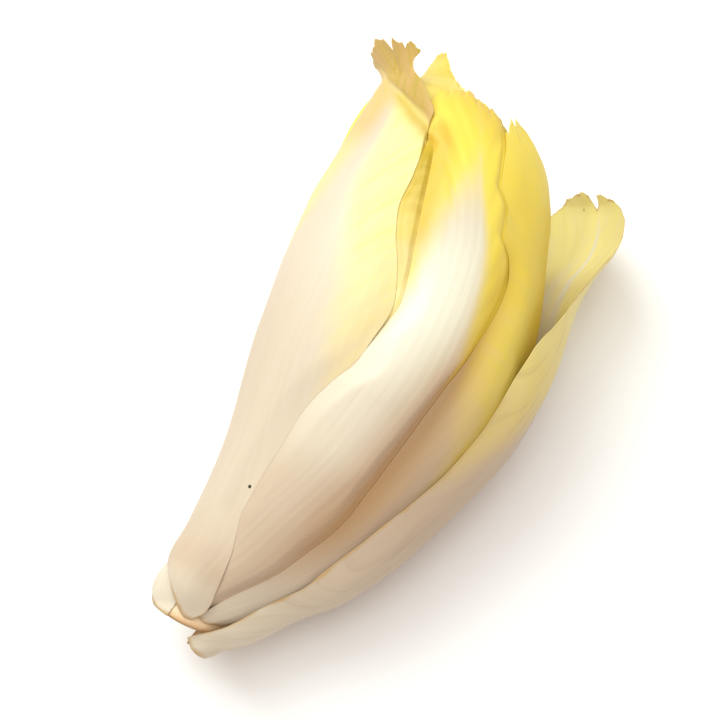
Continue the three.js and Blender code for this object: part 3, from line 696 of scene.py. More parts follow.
def ceiling_over(order, x, angle):
    """The lowest of the ceilings that the leaves outside the one of this order make: the inner face of
    each, less a gap, rising with the distance past its margin or its tip."""
    ceiling = np.full(x.shape, FAR_AWAY)
    for leaf in LEAVES[:order]:
        s, from_rib, width = across_at(leaf, x, angle)
        outer = tucked_radius(leaf, x, angle, ceiling)
        inner = np.maximum(outer - thickness_at(leaf, x, np.clip(s, -1, 1)), 0)
        past = (np.radians(np.maximum(0, np.abs(from_rib) - width)) * np.maximum(outer, LEAST_RADIUS)
                + np.maximum(0, x - tip_at(leaf, s)))
        past = np.maximum(0, past - along(leaf.get("ledge", LEDGE), x))
        below = inner - along(leaf.get("gap", GAP), x)
        climb = along(leaf.get("rise", RISE), x) * past + STEEPENING * past**2
        ceiling = np.minimum(ceiling, below + climb)
    return ceiling


print("gap between leaves:", GAP, "mm")

# %% [markdown]
# The outer face is the tucked one of the last step, and the inner face lies a thickness below it, but
# never inside the core.  Then the blade is thinned from the outside towards its edge, which gives the
# light, sharp margins of a fresh leaf, and the outer face is rounded down at the heel, where a knife cut
# the leaf.

# %% The two faces of a leaf
EDGE_WALL = 0.1
EDGE_TAPER = 7.0
CORE_GAP = 0.25
LEAST_INNER_RADIUS = 0.05
HEEL_ROUND = 2.4
HEEL_DROP = 1.6


def faces_at(leaf, x, s):
    """The radii of a leaf's outer and inner faces.  The blade thins to a fine edge at its margins, and
    the outer face rounds down to the heel."""
    angle = angle_at(leaf, x, s)
    top = tucked_radius(leaf, x, angle, ceiling_over(leaf["order"], x, angle))
    edge = smoothstep(0, leaf.get("taper", EDGE_TAPER), margin_distance(leaf, x, s, top))
    thickness = thickness_at(leaf, x, s)
    core = np.where(x < CORE_END, along(CORE_RADIUS, x) + CORE_GAP, LEAST_INNER_RADIUS)
    inner = np.maximum(top - thickness, core)
    wall = along(leaf.get("edge_wall", EDGE_WALL), x)
    top = inner + np.minimum(top - inner, wall + (thickness - wall) * edge)
    heel = quarter_round((x - heel_at(leaf, s)) / leaf.get("heel_round", HEEL_ROUND))
    return np.maximum(top - leaf.get("heel_drop", HEEL_DROP) * (1 - heel), inner + wall), inner


print("the margins thin to", EDGE_WALL, "mm, and on some leaves to less")

# %% [markdown]
# ## Meshes
# A leaf is two alike grids of points, the outer and the inner face, joined round their border into one
# closed shell.  A single sheet with a Solidify modifier would be shorter to write, but its wall couldn't
# follow the two formulas.  The faces are smooth, and only the narrow rim is flat, so that its shading
# doesn't spill onto the leaf.

# %% Build a shell
UV_TO_MM = 100.0


def grid_shell(name, outer, inner, facts, uv):
    """A closed shell from two grids: quads over the outer grid, the same quads turned round over the
    inner one, and a strip of quads along the border.  Facts are kept on the points as attributes."""
    rows, columns = outer.shape[:2]
    index = np.arange(rows * columns).reshape(rows, columns)
    quads = np.stack([index[:-1, :-1], index[:-1, 1:], index[1:, 1:], index[1:, :-1]], -1).reshape(-1, 4)
    under = rows * columns
    border = np.concatenate([index[0, :-1], index[:-1, -1], index[-1, :0:-1], index[:0:-1, 0]])
    ahead = np.roll(border, -1)
    rim = np.stack([border, border + under, ahead + under, ahead], -1)
    faces = np.concatenate([quads, quads[:, ::-1] + under, rim])
    points = np.concatenate([outer.reshape(-1, 3), inner.reshape(-1, 3)])

    mesh = bpy.data.meshes.new(name)
    mesh.from_pydata(points.tolist(), [], faces.tolist())
    for fact_name, values in facts.items():
        both_faces = np.concatenate([v.ravel() for v in values]).astype(np.float32)
        mesh.attributes.new(fact_name, "FLOAT", "POINT").data.foreach_set("value", both_faces)
    corners = np.empty(len(mesh.loops), np.int32)
    mesh.loops.foreach_get("vertex_index", corners)
    places = np.concatenate([uv.reshape(-1, 2)] * 2)[corners].astype(np.float32)
    mesh.uv_layers.new(name="leaf_place").data.foreach_set("uv", places.ravel())
    smooth = np.ones(len(faces), bool)
    smooth[-len(rim):] = False
    mesh.polygons.foreach_set("use_smooth", smooth)
    return mesh


print("the UV map holds millimetres divided by", UV_TO_MM)

# %% [markdown]
# Detail is wanted where the leaf is thin and ragged.  An even grid would need millions of points for
# that, so the columns crowd towards the margins and the rows towards the tip.

# %% Spread the points
EVEN_SHARE = 0.45
CROWDED_SHARE = 0.55
TIP_CROWDING = 1.15


def leaf_grid(leaf):
    """The two coordinates of every grid point.  Across, a straight count plus a quarter sine wave;
    along, one less a power of the way left to the tip."""
    rows, columns = leaf["grid"]
    t = np.linspace(-1, 1, columns + 1)
    s = EVEN_SHARE * t + CROWDED_SHARE * np.sin(t * np.pi / 2)
    u = 1 - (1 - np.linspace(0, 1, rows + 1)) ** TIP_CROWDING
    s, u = np.meshgrid(s, u)
    return heel_at(leaf, s) + (tip_at(leaf, s) - heel_at(leaf, s)) * u, s


print("points on the loose leaf:", 2 * leaf_grid(LEAVES[0])[0].size)

# %% [markdown]
# The finish needs to know more about a place than where it is: how pale the flesh is there, how near the
# edge, whether another leaf shelters it, whether it has wilted.  These could be painted by hand, but the
# formulas already know them, so each is worked out on the grid and kept as an attribute.

# %% Tell the finish about each place
SHELTER_DEPTH = (0.2, 3)
SHELTER_BLADE = 0.65
SHELTER_PALE = 0.5
WILT_RAMP = (-0.8, 1)
HOLLOW_AT = -2.2
HOLLOW_WIDTH = 3
HOLLOW_SIDE = (-0.4, 0.2)
FOLD_LEAN = 5
FOLD_GOLD = 6
FOLD_BEGINS = (4, 30)
FOLD_ENDS = (88, 104)
DRY_EDGE = 0.15


def streak_at(leaf, key, x, s):
    """How much of a streak along the leaf there is: its share at the stations times a bell across."""
    if key not in leaf:
        return np.zeros_like(x)
    streak = leaf[key]
    return along(streak["share"], x) * bell(s, streak["s"], along(streak["width"], x))


def leaf_facts(leaf, x, s, angle, outer):
    """A dictionary of facts: `edge` and `heel` are distances in millimetres, and the others are shares,
    of which a colour mix takes at most 1.  A fact is a pair of grids, for the outer and the inner face."""
    pale = paleness(leaf, x, s)
    beyond = past_flag(leaf, x, s)
    folded_tip = smoothstep(*WILT_RAMP, beyond)
    covered = free_radius(leaf, x, angle) - outer
    from_fold = np.radians(angle - along(FOLD_ANGLE, x) + FOLD_LEAN) * outer
    alike_facts = {
        "edge": margin_distance(leaf, x, s, outer),
        "heel": x - heel_at(leaf, s),
        # past the fold line: the tip is painted dark golden brown, partly browning and partly painted shade
        "folded_tip": folded_tip,
        # painted shade in the hollow under the folded tip
        "hollow": bell(beyond, HOLLOW_AT, HOLLOW_WIDTH) * smoothstep(*HOLLOW_SIDE, s) * (1 - folded_tip),
        # painted shade: a reddish darkening of shaded flesh, near the base also its own tan, with the valley
        # streak
        "deep": np.maximum(two_sided(leaf, "deep", x, s), streak_at(leaf, "valley", x, s)),
        # whiter flesh, partly painted light on the lit middle flank and inside the loose leaf's flag
        "fresh": two_sided(leaf, "fresh", x, s),
        # painted shade where other leaves cover the place: gold on the blade, taupe on flesh
        "sheltered": smoothstep(*SHELTER_DEPTH, covered) * (SHELTER_BLADE - SHELTER_PALE * pale),
        # painted shade along the valley of the fold
        "folded": (leaf.get("fold", 0) * bell(from_fold, 0, FOLD_GOLD)
                   * smoothstep(*FOLD_BEGINS, x) * (1 - smoothstep(*FOLD_ENDS, x))),
        "dry": along(leaf.get("dry", DRY_EDGE), x)}
    facts = {fact_name: (value, value) for fact_name, value in alike_facts.items()}
    facts["pale"] = (pale, np.maximum(pale, streak_at(leaf, "midrib", x, s)))
    facts["inside"] = (np.zeros_like(x), np.ones_like(x))
    return facts


def leaf_mesh(leaf):
    """The leaf's shell with its facts, and millimetres across and along it as its UV map."""
    x, s = leaf_grid(leaf)
    outer, inner = faces_at(leaf, x, s)
    angle = angle_at(leaf, x, s)
    across = np.radians(across_at(leaf, x, angle)[1]) * outer
    return grid_shell(leaf["name"], place_points(x, angle, outer), place_points(x, angle, inner),
                      leaf_facts(leaf, x, s, angle, outer), np.stack([across, x], -1) / UV_TO_MM)


print("a place is sheltered from", SHELTER_DEPTH[0], "mm under its free height")

# %% [markdown]
# ## The finish: small nodes
# A material is a tree of nodes.  Placing them by hand shows how they hang together, but each of these
# has about fifty, so a few short functions each add one node, or a few, and hand back its output.

# %% Helpers for single nodes
COLOUR_MIX_INPUTS = (0, 6, 7)
COLOUR_MIX_OUTPUT = 2


def node_of(tree, kind, **settings):
    """A node with its settings and input values filled in; a key that starts with in_ is an input."""
    node = tree.nodes.new(kind)
    for key, value in settings.items():
        if key.startswith("in_"):
            node.inputs[key.removeprefix("in_").replace("_", " ")].default_value = value
        else:
            setattr(node, key, value)
    return node


def feed(tree, socket, value):
    """Put a number, a colour or another node's output into a socket."""
    if isinstance(value, (int, float)):
        socket.default_value = value
    elif isinstance(value, tuple):
        socket.default_value = (*value, 1)
    else:
        tree.links.new(value, socket)


def math_node(tree, operation, a, b=None):
    """A Math node whose inputs are numbers or other nodes' outputs."""
    node = node_of(tree, "ShaderNodeMath", operation=operation)
    feed(tree, node.inputs[0], a)
    if b is not None:
        feed(tree, node.inputs[1], b)
    return node.outputs[0]


def mix_colours(tree, factor, a, b, blend="MIX"):
    """A Mix node for colours; each of its inputs is a number, a colour or another node's output.  The
    node has sockets for all kinds of value, so those for colours are picked by their numbers."""
    node = node_of(tree, "ShaderNodeMix", data_type="RGBA", blend_type=blend)
    for number, value in zip(COLOUR_MIX_INPUTS, (factor, a, b)):
        feed(tree, node.inputs[number], value)
    return node.outputs[COLOUR_MIX_OUTPUT]


print("helpers for single nodes ready")

# %% [markdown]
# The next helpers stand for a few nodes each: reading a fact from the mesh, sharpening it, drawing
# streaks with noise, and making or placing a group of nodes.

# %% Helpers for a few nodes
def contrast(tree, value, low, high):
    """An S curve from 0 at low to 1 at high."""
    ramp = node_of(tree, "ShaderNodeMapRange", interpolation_type="SMOOTHSTEP")
    ramp.inputs["From Min"].default_value = low
    ramp.inputs["From Max"].default_value = high
    tree.links.new(value, ramp.inputs["Value"])
    return ramp.outputs["Result"]


def fact(tree, fact_name):
    """One of the facts that the mesh carries."""
    return node_of(tree, "ShaderNodeAttribute", attribute_name=fact_name).outputs["Fac"]


def stretched_noise(tree, across, down, pattern):
    """Noise over two coordinates, each with its own scale, so that it draws streaks."""
    place = tree.nodes.new("ShaderNodeCombineXYZ")
    feed(tree, place.inputs[0], math_node(tree, "MULTIPLY", across, pattern["across"]))
    feed(tree, place.inputs[1], math_node(tree, "MULTIPLY", down, pattern["down"]))
    place.inputs[2].default_value = pattern["seed"]
    noise = node_of(tree, "ShaderNodeTexNoise", in_Scale=1.0, in_Detail=pattern["detail"])
    tree.links.new(place.outputs[0], noise.inputs["Vector"])
    return noise.outputs["Fac"]


def new_group(name, inputs, outputs):
    """An empty node group with named sockets; gives the group and its two end nodes."""
    group = bpy.data.node_groups.new(name, "ShaderNodeTree")
    for socket_name, kind, value in inputs:
        socket = group.interface.new_socket(socket_name, in_out="INPUT", socket_type=kind)
        if value is not None:
            socket.default_value = value
    for socket_name, kind in outputs:
        group.interface.new_socket(socket_name, in_out="OUTPUT", socket_type=kind)
    return group, group.nodes.new("NodeGroupInput"), group.nodes.new("NodeGroupOutput")


def place_group(tree, group, **values):
    """A node group placed in a material, with numbers or other nodes' outputs in its sockets."""
    node = node_of(tree, "ShaderNodeGroup", node_tree=group)
    for socket_name, value in values.items():
        feed(tree, node.inputs[socket_name], value)
    return node


print("helpers for a few nodes ready")

# %% [markdown]
# ## The finish: veins as a node group
# The same veining is on every leaf, so it is built once as a node group and placed in each material
# with its own numbers.  A picture of veins would have to be stretched over each leaf.  The group reads
# the UV map instead, which holds millimetres across and along the leaf, so the pattern follows the leaf
# wherever it bends.  Noise that is stretched along a slanting direction makes side veins; noise
# stretched along the leaf makes the fine ribbing of the white part.

# %% Build the veining group
BROAD_VEINS = dict(across=0.17, down=0.035, detail=2.0, seed=3.1, share=0.55)
FINE_VEINS = dict(across=0.6, down=0.11, detail=3.0, seed=7.7, share=0.3)
NETTING = dict(across=0.9, down=0.9, detail=3.0, seed=11.3, share=0.15)
RIBBING = dict(across=1.1, down=0.05, detail=3.0, seed=5.2)
VEIN_LEAN = 0.9

veining, veining_in, veining_out = new_group(
    "leaf_veining",
    [("Place", "NodeSocketVector", None), ("Paleness", "NodeSocketFloat", 0.5),
     ("Slant", "NodeSocketFloat", VEIN_SLANT)],
    [("Veins", "NodeSocketFloat"), ("Ribbing", "NodeSocketFloat"), ("Height", "NodeSocketFloat")])
split = veining.nodes.new("ShaderNodeSeparateXYZ")
veining.links.new(veining_in.outputs["Place"], split.inputs[0])
across_mm = math_node(veining, "MULTIPLY", split.outputs[0], UV_TO_MM)
along_mm = math_node(veining, "MULTIPLY", split.outputs[1], UV_TO_MM)
outward = math_node(veining, "ABSOLUTE", across_mm)
slanted = math_node(veining, "MULTIPLY", outward, veining_in.outputs["Slant"])
over_vein = math_node(veining, "SUBTRACT", along_mm, slanted)
down_vein = math_node(veining, "ADD", math_node(veining, "MULTIPLY", along_mm, VEIN_LEAN), outward)
broad_veins = stretched_noise(veining, over_vein, down_vein, BROAD_VEINS)
fine_veins = stretched_noise(veining, over_vein, down_vein, FINE_VEINS)
netting = stretched_noise(veining, along_mm, across_mm, NETTING)
finer = math_node(veining, "ADD", math_node(veining, "MULTIPLY", fine_veins, FINE_VEINS["share"]),
                  math_node(veining, "MULTIPLY", netting, NETTING["share"]))
veins = math_node(veining, "ADD", math_node(veining, "MULTIPLY", broad_veins, BROAD_VEINS["share"]), finer)
ribbing = stretched_noise(veining, across_mm, along_mm, RIBBING)
pale_part = math_node(veining, "MULTIPLY", ribbing, veining_in.outputs["Paleness"])
blade_share = math_node(veining, "SUBTRACT", 1.0, veining_in.outputs["Paleness"])
blade_part = math_node(veining, "MULTIPLY", veins, blade_share)
veining.links.new(veins, veining_out.inputs["Veins"])
veining.links.new(ribbing, veining_out.inputs["Ribbing"])
veining.links.new(math_node(veining, "ADD", pale_part, blade_part), veining_out.inputs["Height"])
print("veining group:", len(veining.nodes), "nodes")

# %% [markdown]
# Where a leaf has been cut or has begun to dry, it turns tan, then brown.  That happens in a thin uneven
# line along an edge.  A sharp mask would look like a painted border, so this second group turns a
# distance in millimetres into a mask whose reach varies from place to place.

# %% Build the drying group
PATCH_SCALE = 22
PATCH_DETAIL = 3
DRIED_REACH = 3.0
LEAST_DRIED_WIDTH = 0.01

drying, drying_in, drying_out = new_group(
    "dried_line",
    [("Place", "NodeSocketVector", None), ("Distance", "NodeSocketFloat", 1.0),
     ("Width", "NodeSocketFloat", 0.6), ("Patchiness", "NodeSocketFloat", 0.5)],
    [("Mask", "NodeSocketFloat")])
patches = node_of(drying, "ShaderNodeTexNoise", in_Scale=PATCH_SCALE, in_Detail=PATCH_DETAIL)
drying.links.new(drying_in.outputs["Place"], patches.inputs["Vector"])
half_patchiness = math_node(drying, "MULTIPLY", drying_in.outputs["Patchiness"], 0.5)
uneven = math_node(drying, "SUBTRACT", patches.outputs["Fac"], half_patchiness)
reach = math_node(drying, "MULTIPLY", drying_in.outputs["Width"],
                  math_node(drying, "MULTIPLY", uneven, DRIED_REACH))
shortfall = math_node(drying, "DIVIDE", math_node(drying, "SUBTRACT", reach, drying_in.outputs["Distance"]),
                      math_node(drying, "MAXIMUM", drying_in.outputs["Width"], LEAST_DRIED_WIDTH))
mask = drying.nodes.new("ShaderNodeClamp")
drying.links.new(shortfall, mask.inputs["Value"])
drying.links.new(mask.outputs[0], drying_out.inputs["Mask"])
print("drying group:", len(drying.nodes), "nodes")

# %% [markdown]
# ## The leaf material: fresh flesh
# Every leaf uses the same recipe: cream flesh where it is pale, yellow where the blade is thin.  Both
# could be flat colours, but a real leaf is never one colour, so the ribbing varies the cream and the
# veins shift the yellow along a ramp of three stops.

# %% Mix the flesh and the blade
CREAM = (0.68, 0.60, 0.47)
CREAM_DEEP = (0.66, 0.57, 0.44)
# whiter flesh, partly painted light on lit faces and inside the loose leaf's flag
WHITE_AND_LIT_FLESH = (0.79, 0.76, 0.61)
BLADE_COLOURS = ((0.0, (0.88, 0.70, 0.085)), (0.3, (0.83, 0.69, 0.14)), (0.62, (0.78, 0.66, 0.31)))
# deeper yellows, darkened also as painted shade deep among the other leaves
GOLDEN_SHADED_COLOURS = ((0.0, (0.50, 0.36, 0.02)), (0.3, (0.73, 0.58, 0.13)), (0.62, (0.76, 0.65, 0.30)))
# the loose leaf's blade colours, made lighter as painted light in the shaded inside of its flag
LOOSE_LIGHTENED_COLOURS = ((0.0, (0.88, 0.74, 0.12)), (0.3, (0.85, 0.74, 0.22)), (0.62, (0.81, 0.70, 0.32)))
RIBBING_CONTRAST = (0.2, 0.8)
VEIN_STRENGTH = 0.8
VEIN_IN_BORDER = 0.4
FLESH_BORDER = (0.55, 1.0)


def flesh_and_blade(tree, pale, veins, blade_colours):
    """The leaf's colour: cream varied by the ribbing, whiter where it is fresh, partly whiter flesh and
    partly painted light, and a colour ramp over the paleness plus the veins, mixed by the paleness."""
    flesh = mix_colours(tree, contrast(tree, veins.outputs["Ribbing"], *RIBBING_CONTRAST), CREAM_DEEP, CREAM)
    flesh = mix_colours(tree, fact(tree, "fresh"), flesh, WHITE_AND_LIT_FLESH)
    centred = math_node(tree, "SUBTRACT", veins.outputs["Veins"], 0.5)
    veined = math_node(tree, "MULTIPLY", centred, VEIN_STRENGTH)
    blade = tree.nodes.new("ShaderNodeValToRGB")
    tree.links.new(math_node(tree, "ADD", pale, veined), blade.inputs[0])
    stops = blade.color_ramp.elements
    stops.remove(stops[1])
    for i, (position, stop_colour) in enumerate(blade_colours):
        stop = stops[0] if i == 0 else stops.new(position)
        stop.position = position
        stop.color = (*stop_colour, 1)
    border = math_node(tree, "ADD", pale, math_node(tree, "MULTIPLY", veined, VEIN_IN_BORDER))
    return mix_colours(tree, contrast(tree, border, *FLESH_BORDER), blade.outputs[0], flesh)


print("cream flesh is", CREAM, "and the blade begins at", BLADE_COLOURS[0][1])

# %% [markdown]
# ## The leaf material: shade
# Light that comes through several leaves turns golden on a blade and brownish on flesh, and flesh in shade
# looks pinkish.  Scattering light inside such thin shells is slow and darkens their edges, so this shade
# and glow are painted: facts on the mesh darken and tint the colour under other leaves, in the fold, in
# the hollow under the folded tip and on the deep flesh, where near the base it is also the flesh's own tan.

# %% Paint the shade under leaves, in the fold and in the hollow
# The colours below paint shade: a reddish multiplier for deep flesh, gold and taupe for places under other
# leaves and in the fold, and dark gold for the hollow under the folded tip.
SHADE_AND_TAN_TINT = (0.76, 0.64, 0.57)
SHADE_GOLD = (0.85, 0.61, 0.05)
SHADE_TAUPE = (0.66, 0.43, 0.17)
HOLLOW_SHADE = (0.58, 0.44, 0.10)
STREAK = (0.42, 0.32, 0.18)
SHADE_BORDER = (0.5, 1.0)
STREAK_CONTRAST = (0.5, 0.3)
FOLD_SHADE_STRENGTH = 0.7


def streaked(tree, colour, veins, strength):
    """Fine darker lines along the outer face, where the ribbing is low."""
    outside = math_node(tree, "SUBTRACT", 1.0, fact(tree, "inside"))
    streak = math_node(tree, "MULTIPLY", contrast(tree, veins.outputs["Ribbing"], *STREAK_CONTRAST), strength)
    return mix_colours(tree, math_node(tree, "MULTIPLY", streak, outside), colour, STREAK)


def shaded(tree, colour, pale):
    """Painted shade: gold or taupe where other leaves shelter the place and in the fold, a reddish darkening
    of the deep flesh, near the base also its own tan, and dark gold in the hollow under the folded tip.
    """
    shade = mix_colours(tree, contrast(tree, pale, *SHADE_BORDER), SHADE_GOLD, SHADE_TAUPE)
    # painted shade under covering leaves
    colour = mix_colours(tree, fact(tree, "sheltered"), colour, shade)
    # painted shade in the fold
    fold_share = math_node(tree, "MULTIPLY", fact(tree, "folded"), FOLD_SHADE_STRENGTH)
    colour = mix_colours(tree, fold_share, colour, shade)
    # painted shade: deep flesh multiplied by a reddish tint
    colour = mix_colours(tree, fact(tree, "deep"), colour, SHADE_AND_TAN_TINT, "MULTIPLY")
    # painted shade: dark gold in the hollow under the folded tip
    return mix_colours(tree, fact(tree, "hollow"), colour, HOLLOW_SHADE)


print("sheltered blades turn", SHADE_GOLD, "and sheltered flesh", SHADE_TAUPE)

# %% [markdown]
# ## The leaf material: age and the folded tip
# A head that has lain for some days wilts at its tips and dries along its edges, and the heel, where the
# knife went, turns tan first.  The tip past its fold line follows a fact on the mesh and is painted dark
# golden brown: partly browning, partly painted shade and light through the leaf.  The dried lines are
# the group from above, placed twice: once for the edge and once for the heel.

# %% Colour the folded tips and age the edges
# the folded tip's dark golden brown: partly browning, partly painted shade and light through the leaf
SHADED_BROWN_TIP = (0.43, 0.31, 0.045)
TAN = (0.54, 0.33, 0.11)
WILT_CONTRAST = (0.35, 0.65)
EDGE_PATCHINESS = 0.4
EDGE_STRENGTH = 0.8
HEEL_WIDTH = 0.8
HEEL_PATCHINESS = 0.2
HEEL_STRENGTH = 0.7


def aged(tree, colour, place, veins, dried_width):
    """The folded tip's dark golden brown, partly browning and partly painted shade, and the dried lines along
    the edges and at the heel.
    """
    wilted = mix_colours(tree, contrast(tree, veins.outputs["Veins"], *WILT_CONTRAST), SHADED_BROWN_TIP, TAN)
    colour = mix_colours(tree, fact(tree, "folded_tip"), colour, wilted)
    edge = place_group(tree, drying, Place=place, Distance=fact(tree, "edge"), Width=dried_width,
                       Patchiness=EDGE_PATCHINESS).outputs["Mask"]
    edge = math_node(tree, "MULTIPLY", edge, fact(tree, "dry"))
    colour = mix_colours(tree, math_node(tree, "MULTIPLY", edge, EDGE_STRENGTH), colour, TAN)
    heel = place_group(tree, drying, Place=place, Distance=fact(tree, "heel"), Width=HEEL_WIDTH,
                       Patchiness=HEEL_PATCHINESS).outputs["Mask"]
    return mix_colours(tree, math_node(tree, "MULTIPLY", heel, HEEL_STRENGTH), colour, TAN)


print("dried edges turn", TAN)

# %% [markdown]
# Real heads carry small blemishes: here a black speck on the white rib of the left leaf, and a reddish
# spot on the loose leaf's margin.  Each could be a tiny mesh, but it lies in the skin, so it is a mask:
# the distance from a place on the UV map, made ragged by the veins.

# %% Add the specks
SPECK = (0.02, 0.012, 0.008)
BLACK_SPECK = dict(across=7.9, along=24.9, radius=0.38, colour=SPECK)
RED_SPOT = dict(across=2.9, along=129.3, radius=0.3, colour=TAN)
SPECK_BORDER = (0.9, 0.3)


def specked(tree, colour, place, veins, specks):
    """Spots of another colour.  A multiple of the veins is taken off the distance from the spot's
    middle, and the spot fades out where the rest lies between two shares of its radius."""
    for speck in specks:
        radius = speck["radius"] / UV_TO_MM
        apart = node_of(tree, "ShaderNodeVectorMath", operation="DISTANCE")
        tree.links.new(place, apart.inputs[0])
        apart.inputs[1].default_value = (speck["across"] / UV_TO_MM, speck["along"] / UV_TO_MM, 0)
        ragged = math_node(tree, "MULTIPLY", veins.outputs["Veins"], radius)
        distance = math_node(tree, "SUBTRACT", apart.outputs["Value"], ragged)
        near = contrast(tree, distance, *(share * radius for share in SPECK_BORDER))
        colour = mix_colours(tree, near, colour, speck["colour"])
    return colour


print("the black speck has a radius of about", BLACK_SPECK["radius"], "mm")

# %% [markdown]
# ## The leaf material
# Now the steps are put together.  Fresh leaves are waxy, so the surface is a satin: half rough, with the
# refraction of watery flesh.  The blade's colours, the slant of the veins, the dried line's width, the
# streaks and the specks differ from leaf to leaf.

# %% Mix the leaf materials
LEAF_ROUGHNESS = 0.5
LEAF_IOR = 1.4
BUMP_STRENGTH = 0.15
BUMP_HEIGHT = 0.3 * MM


def leaf_material(name, blade_colours=BLADE_COLOURS, streaks=0.0, dried_width=0.35, slant=VEIN_SLANT,
                  specks=()):
    """The leaf recipe with its own colours.  `streaks` darkens fine lines along the outer face, and
    `specks` are spots with a place across and along the leaf, a radius and a colour."""
    material = bpy.data.materials.new(name)
    material.use_nodes = True
    tree = material.node_tree
    shader = tree.nodes["Principled BSDF"]
    place = node_of(tree, "ShaderNodeUVMap", uv_map="leaf_place").outputs[0]
    pale = fact(tree, "pale")
    veins = place_group(tree, veining, Place=place, Paleness=pale, Slant=slant)
    colour = flesh_and_blade(tree, pale, veins, blade_colours)
    if streaks:
        colour = streaked(tree, colour, veins, streaks)
    colour = shaded(tree, colour, pale)
    colour = aged(tree, colour, place, veins, dried_width)
    colour = specked(tree, colour, place, veins, specks)
    tree.links.new(colour, shader.inputs["Base Color"])
    bump = node_of(tree, "ShaderNodeBump", in_Strength=BUMP_STRENGTH, in_Distance=BUMP_HEIGHT)
    tree.links.new(veins.outputs["Height"], bump.inputs["Height"])
    tree.links.new(bump.outputs[0], shader.inputs["Normal"])
    shader.inputs["Roughness"].default_value = LEAF_ROUGHNESS
    shader.inputs["IOR"].default_value = LEAF_IOR
    print("material", name, "with", len(tree.nodes), "nodes")
    return material


outer_flesh = leaf_material("outer_leaf_flesh")
left_flesh = leaf_material("left_leaf_flesh", specks=[BLACK_SPECK])
inner_flesh = leaf_material("inner_leaf_flesh", slant=0.3)
golden_shaded_flesh = leaf_material("golden_shaded_leaf_flesh", blade_colours=GOLDEN_SHADED_COLOURS, slant=0.3)
loose_flesh = leaf_material("loose_leaf_flesh", blade_colours=LOOSE_LIGHTENED_COLOURS, streaks=0.2, dried_width=0.6,
                            specks=[RED_SPOT])

# %% [markdown]
# ## Make every leaf
# The finish of each leaf follows from its name and from whether it is golden.  The fine leaf replaces
# the plain solid of the same name and rides on the part's one body.

# %% Make the leaves
YELLOW_LEAVES = ("leaf_right", "leaf_inner_left", "leaf_inner_right")
OWN_FLESH = {"leaf_loose": loose_flesh, "leaf_left": left_flesh}

for leaf in LEAVES:
    name = leaf["name"]
    yellow_leaf = name in YELLOW_LEAVES or name.startswith("leaf_heart")
    flesh = golden_shaded_flesh if leaf.get("golden") else inner_flesh if yellow_leaf else outer_flesh
    mesh = leaf_mesh(leaf)
    mesh.materials.append(OWN_FLESH.get(name, flesh))
    piece = bpy.data.objects.new(name + "_fine", mesh)
    bpy.context.scene.collection.objects.link(piece)
    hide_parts(leaf["name"])
    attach(piece, "root")
    print(name, "has", len(mesh.polygons), "faces")

# %% [markdown]
# ## The core
# The core is the short stem that the leaves grow from.  A knife cut it off on a slant, so its end is a
# leaning plane that has to meet the core's round side.  A boolean cut would do it, but it leaves uneven
# faces; here the line where the two meet is found first, and rings of points are laid on both sides.

# %% Find where the knife passed
CUT_AT = -4.5
CUT_SLOPE_UP = 0.41
CUT_SLOPE_SIDE = 0.08
RIM_STEPS = 40


def cut_at(angle, radius):
    """Where the knife's leaning plane lies at an angle and a radius."""
    turn = np.radians(angle)
    return CUT_AT - radius * (CUT_SLOPE_UP * np.cos(turn) * HEIGHT_RATIO + CUT_SLOPE_SIDE * np.sin(turn))


def rim_at(angle):
    """Where the core's side meets that plane: found by stepping to and fro between the two."""
    x = np.full(angle.shape, float(CUT_AT))
    for _ in range(RIM_STEPS):
        x = cut_at(angle, along(CORE_RADIUS, x))
    return x


print("the cut leans by", round(float(np.degrees(np.arctan(CUT_SLOPE_UP))), 1), "degrees")

# %% [markdown]
# As it dries, the cut face sinks a little in the middle, and the ring of vessels sinks a little more
# than the flesh beside it.  The face could stay a flat plane, but light that grazes it would show that,
# so both are added to the plane, with a faint unevenness.

# %% Shape the core
CORE_COLUMNS = 128
CORE_ROWS = 70
CUT_ROWS = 24
CUT_SHARES = (0.03, 0.97)
DISH_DEPTH = 0.5
RING_AT = 0.72
RING_WIDTH = 0.05
RING_DEPTH = 0.12
UNEVENNESS = 0.06
UNEVEN_SEED = 5
UNEVEN_TURN = 12
UNEVEN_SPREAD = 9
ROUNDING = 0.15
ROUNDING_WIDTH = 0.02

turn = np.linspace(0, 360, CORE_COLUMNS, endpoint=False)[None, :]
rim_x = rim_at(turn)
share = np.linspace(*CUT_SHARES, CUT_ROWS)[:, None]
face_radius = along(CORE_RADIUS, rim_x) * share
uneven_face = ripple(turn / UNEVEN_TURN + 0 * share, share * UNEVEN_SPREAD, UNEVEN_SEED, 3)
face_x = (cut_at(turn, face_radius) + DISH_DEPTH * (1 - share**2)
          + RING_DEPTH * bell(share, RING_AT, RING_WIDTH) + UNEVENNESS * uneven_face)
side = np.linspace(0, 1, CORE_ROWS)[:, None]
side_x = rim_x + (CORE_END - rim_x) * side
side_radius = along(CORE_RADIUS, side_x) - ROUNDING * bell(side, 0, ROUNDING_WIDTH)
core_x = np.concatenate([face_x, side_x])
core_radius = np.concatenate([face_radius, side_radius])
core_points = place_points(core_x, np.broadcast_to(turn, core_x.shape), core_radius)

rows, columns = core_x.shape
index = np.arange(rows * columns).reshape(rows, columns)
wrapped = np.roll(index, -1, axis=1)
quads = np.stack([index[:-1], wrapped[:-1], wrapped[1:], index[1:]], -1).reshape(-1, 4)
core_mesh = bpy.data.meshes.new("core_fine")
core_mesh.from_pydata(core_points.reshape(-1, 3).tolist(), [],
                      quads.tolist() + [index[0, ::-1].tolist(), index[-1].tolist()])
core_mesh.shade_smooth()
print("core has", len(core_mesh.polygons), "faces")

# %% [markdown]
# The knife left a drying face: tan, a little paler towards the rim, with a faint ring of vessels, and
# the tan reaches slightly round the edge.  A picture of a cut stem would look sharper than the rest, so
# two facts on the points say where the face and the ring are, and a fine noise mottles the flesh.

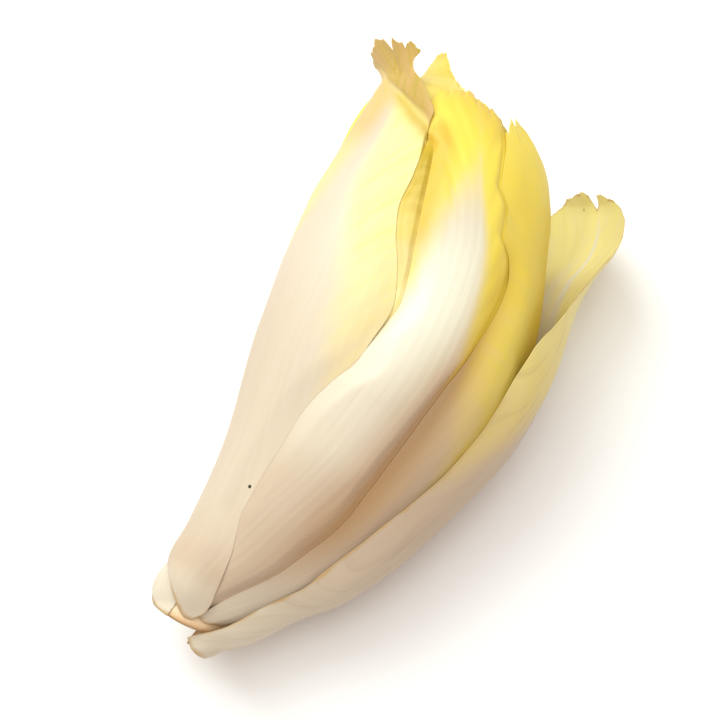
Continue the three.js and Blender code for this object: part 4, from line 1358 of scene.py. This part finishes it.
# %% Finish the core
RIM_FADE = (0.9, 1)
RIM_PALER = 0.4
SIDE_FADE = (0, 0.04)
SIDE_DRIED = 0.9
RING_TINT_WIDTH = 0.06
RING_TINT = 0.5
MOTTLE_SCALE = 900.0
MOTTLE_DETAIL = 4.0
CORE_FLESH = (0.88, 0.66, 0.42)
DRIED_DARK = (0.50, 0.25, 0.09)
DRIED_LIGHT = (0.74, 0.47, 0.22)
VESSELS = (0.42, 0.22, 0.08)
CORE_ROUGHNESS = 0.55
CORE_BUMP_STRENGTH = 0.4
CORE_BUMP_HEIGHT = 0.2 * MM

cut_mask = np.concatenate([1 - smoothstep(*RIM_FADE, share) * RIM_PALER + 0 * face_x,
                           (1 - smoothstep(*SIDE_FADE, side)) * SIDE_DRIED + 0 * side_x])
ring = np.concatenate([bell(share, RING_AT, RING_TINT_WIDTH) + 0 * face_x, 0 * side_x])
for fact_name, values in (("cut", cut_mask), ("vessels", ring)):
    attribute = core_mesh.attributes.new(fact_name, "FLOAT", "POINT")
    attribute.data.foreach_set("value", values.ravel().astype(np.float32))

core_flesh = bpy.data.materials.new("core_flesh")
core_flesh.use_nodes = True
tree = core_flesh.node_tree
shader = tree.nodes["Principled BSDF"]
mottle = node_of(tree, "ShaderNodeTexNoise", in_Scale=MOTTLE_SCALE, in_Detail=MOTTLE_DETAIL)
tree.links.new(node_of(tree, "ShaderNodeTexCoord").outputs["Object"], mottle.inputs["Vector"])
dried_face = mix_colours(tree, mottle.outputs["Fac"], DRIED_DARK, DRIED_LIGHT)
dried_face = mix_colours(tree, math_node(tree, "MULTIPLY", fact(tree, "vessels"), RING_TINT), dried_face,
                         VESSELS)
tree.links.new(mix_colours(tree, fact(tree, "cut"), CORE_FLESH, dried_face), shader.inputs["Base Color"])
bump = node_of(tree, "ShaderNodeBump", in_Strength=CORE_BUMP_STRENGTH, in_Distance=CORE_BUMP_HEIGHT)
tree.links.new(mottle.outputs["Fac"], bump.inputs["Height"])
tree.links.new(bump.outputs[0], shader.inputs["Normal"])
shader.inputs["Roughness"].default_value = CORE_ROUGHNESS
core_mesh.materials.append(core_flesh)

core = bpy.data.objects.new("core_fine", core_mesh)
bpy.context.scene.collection.objects.link(core)
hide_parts("core")
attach(core, "root")
print("material core_flesh with", len(tree.nodes), "nodes")
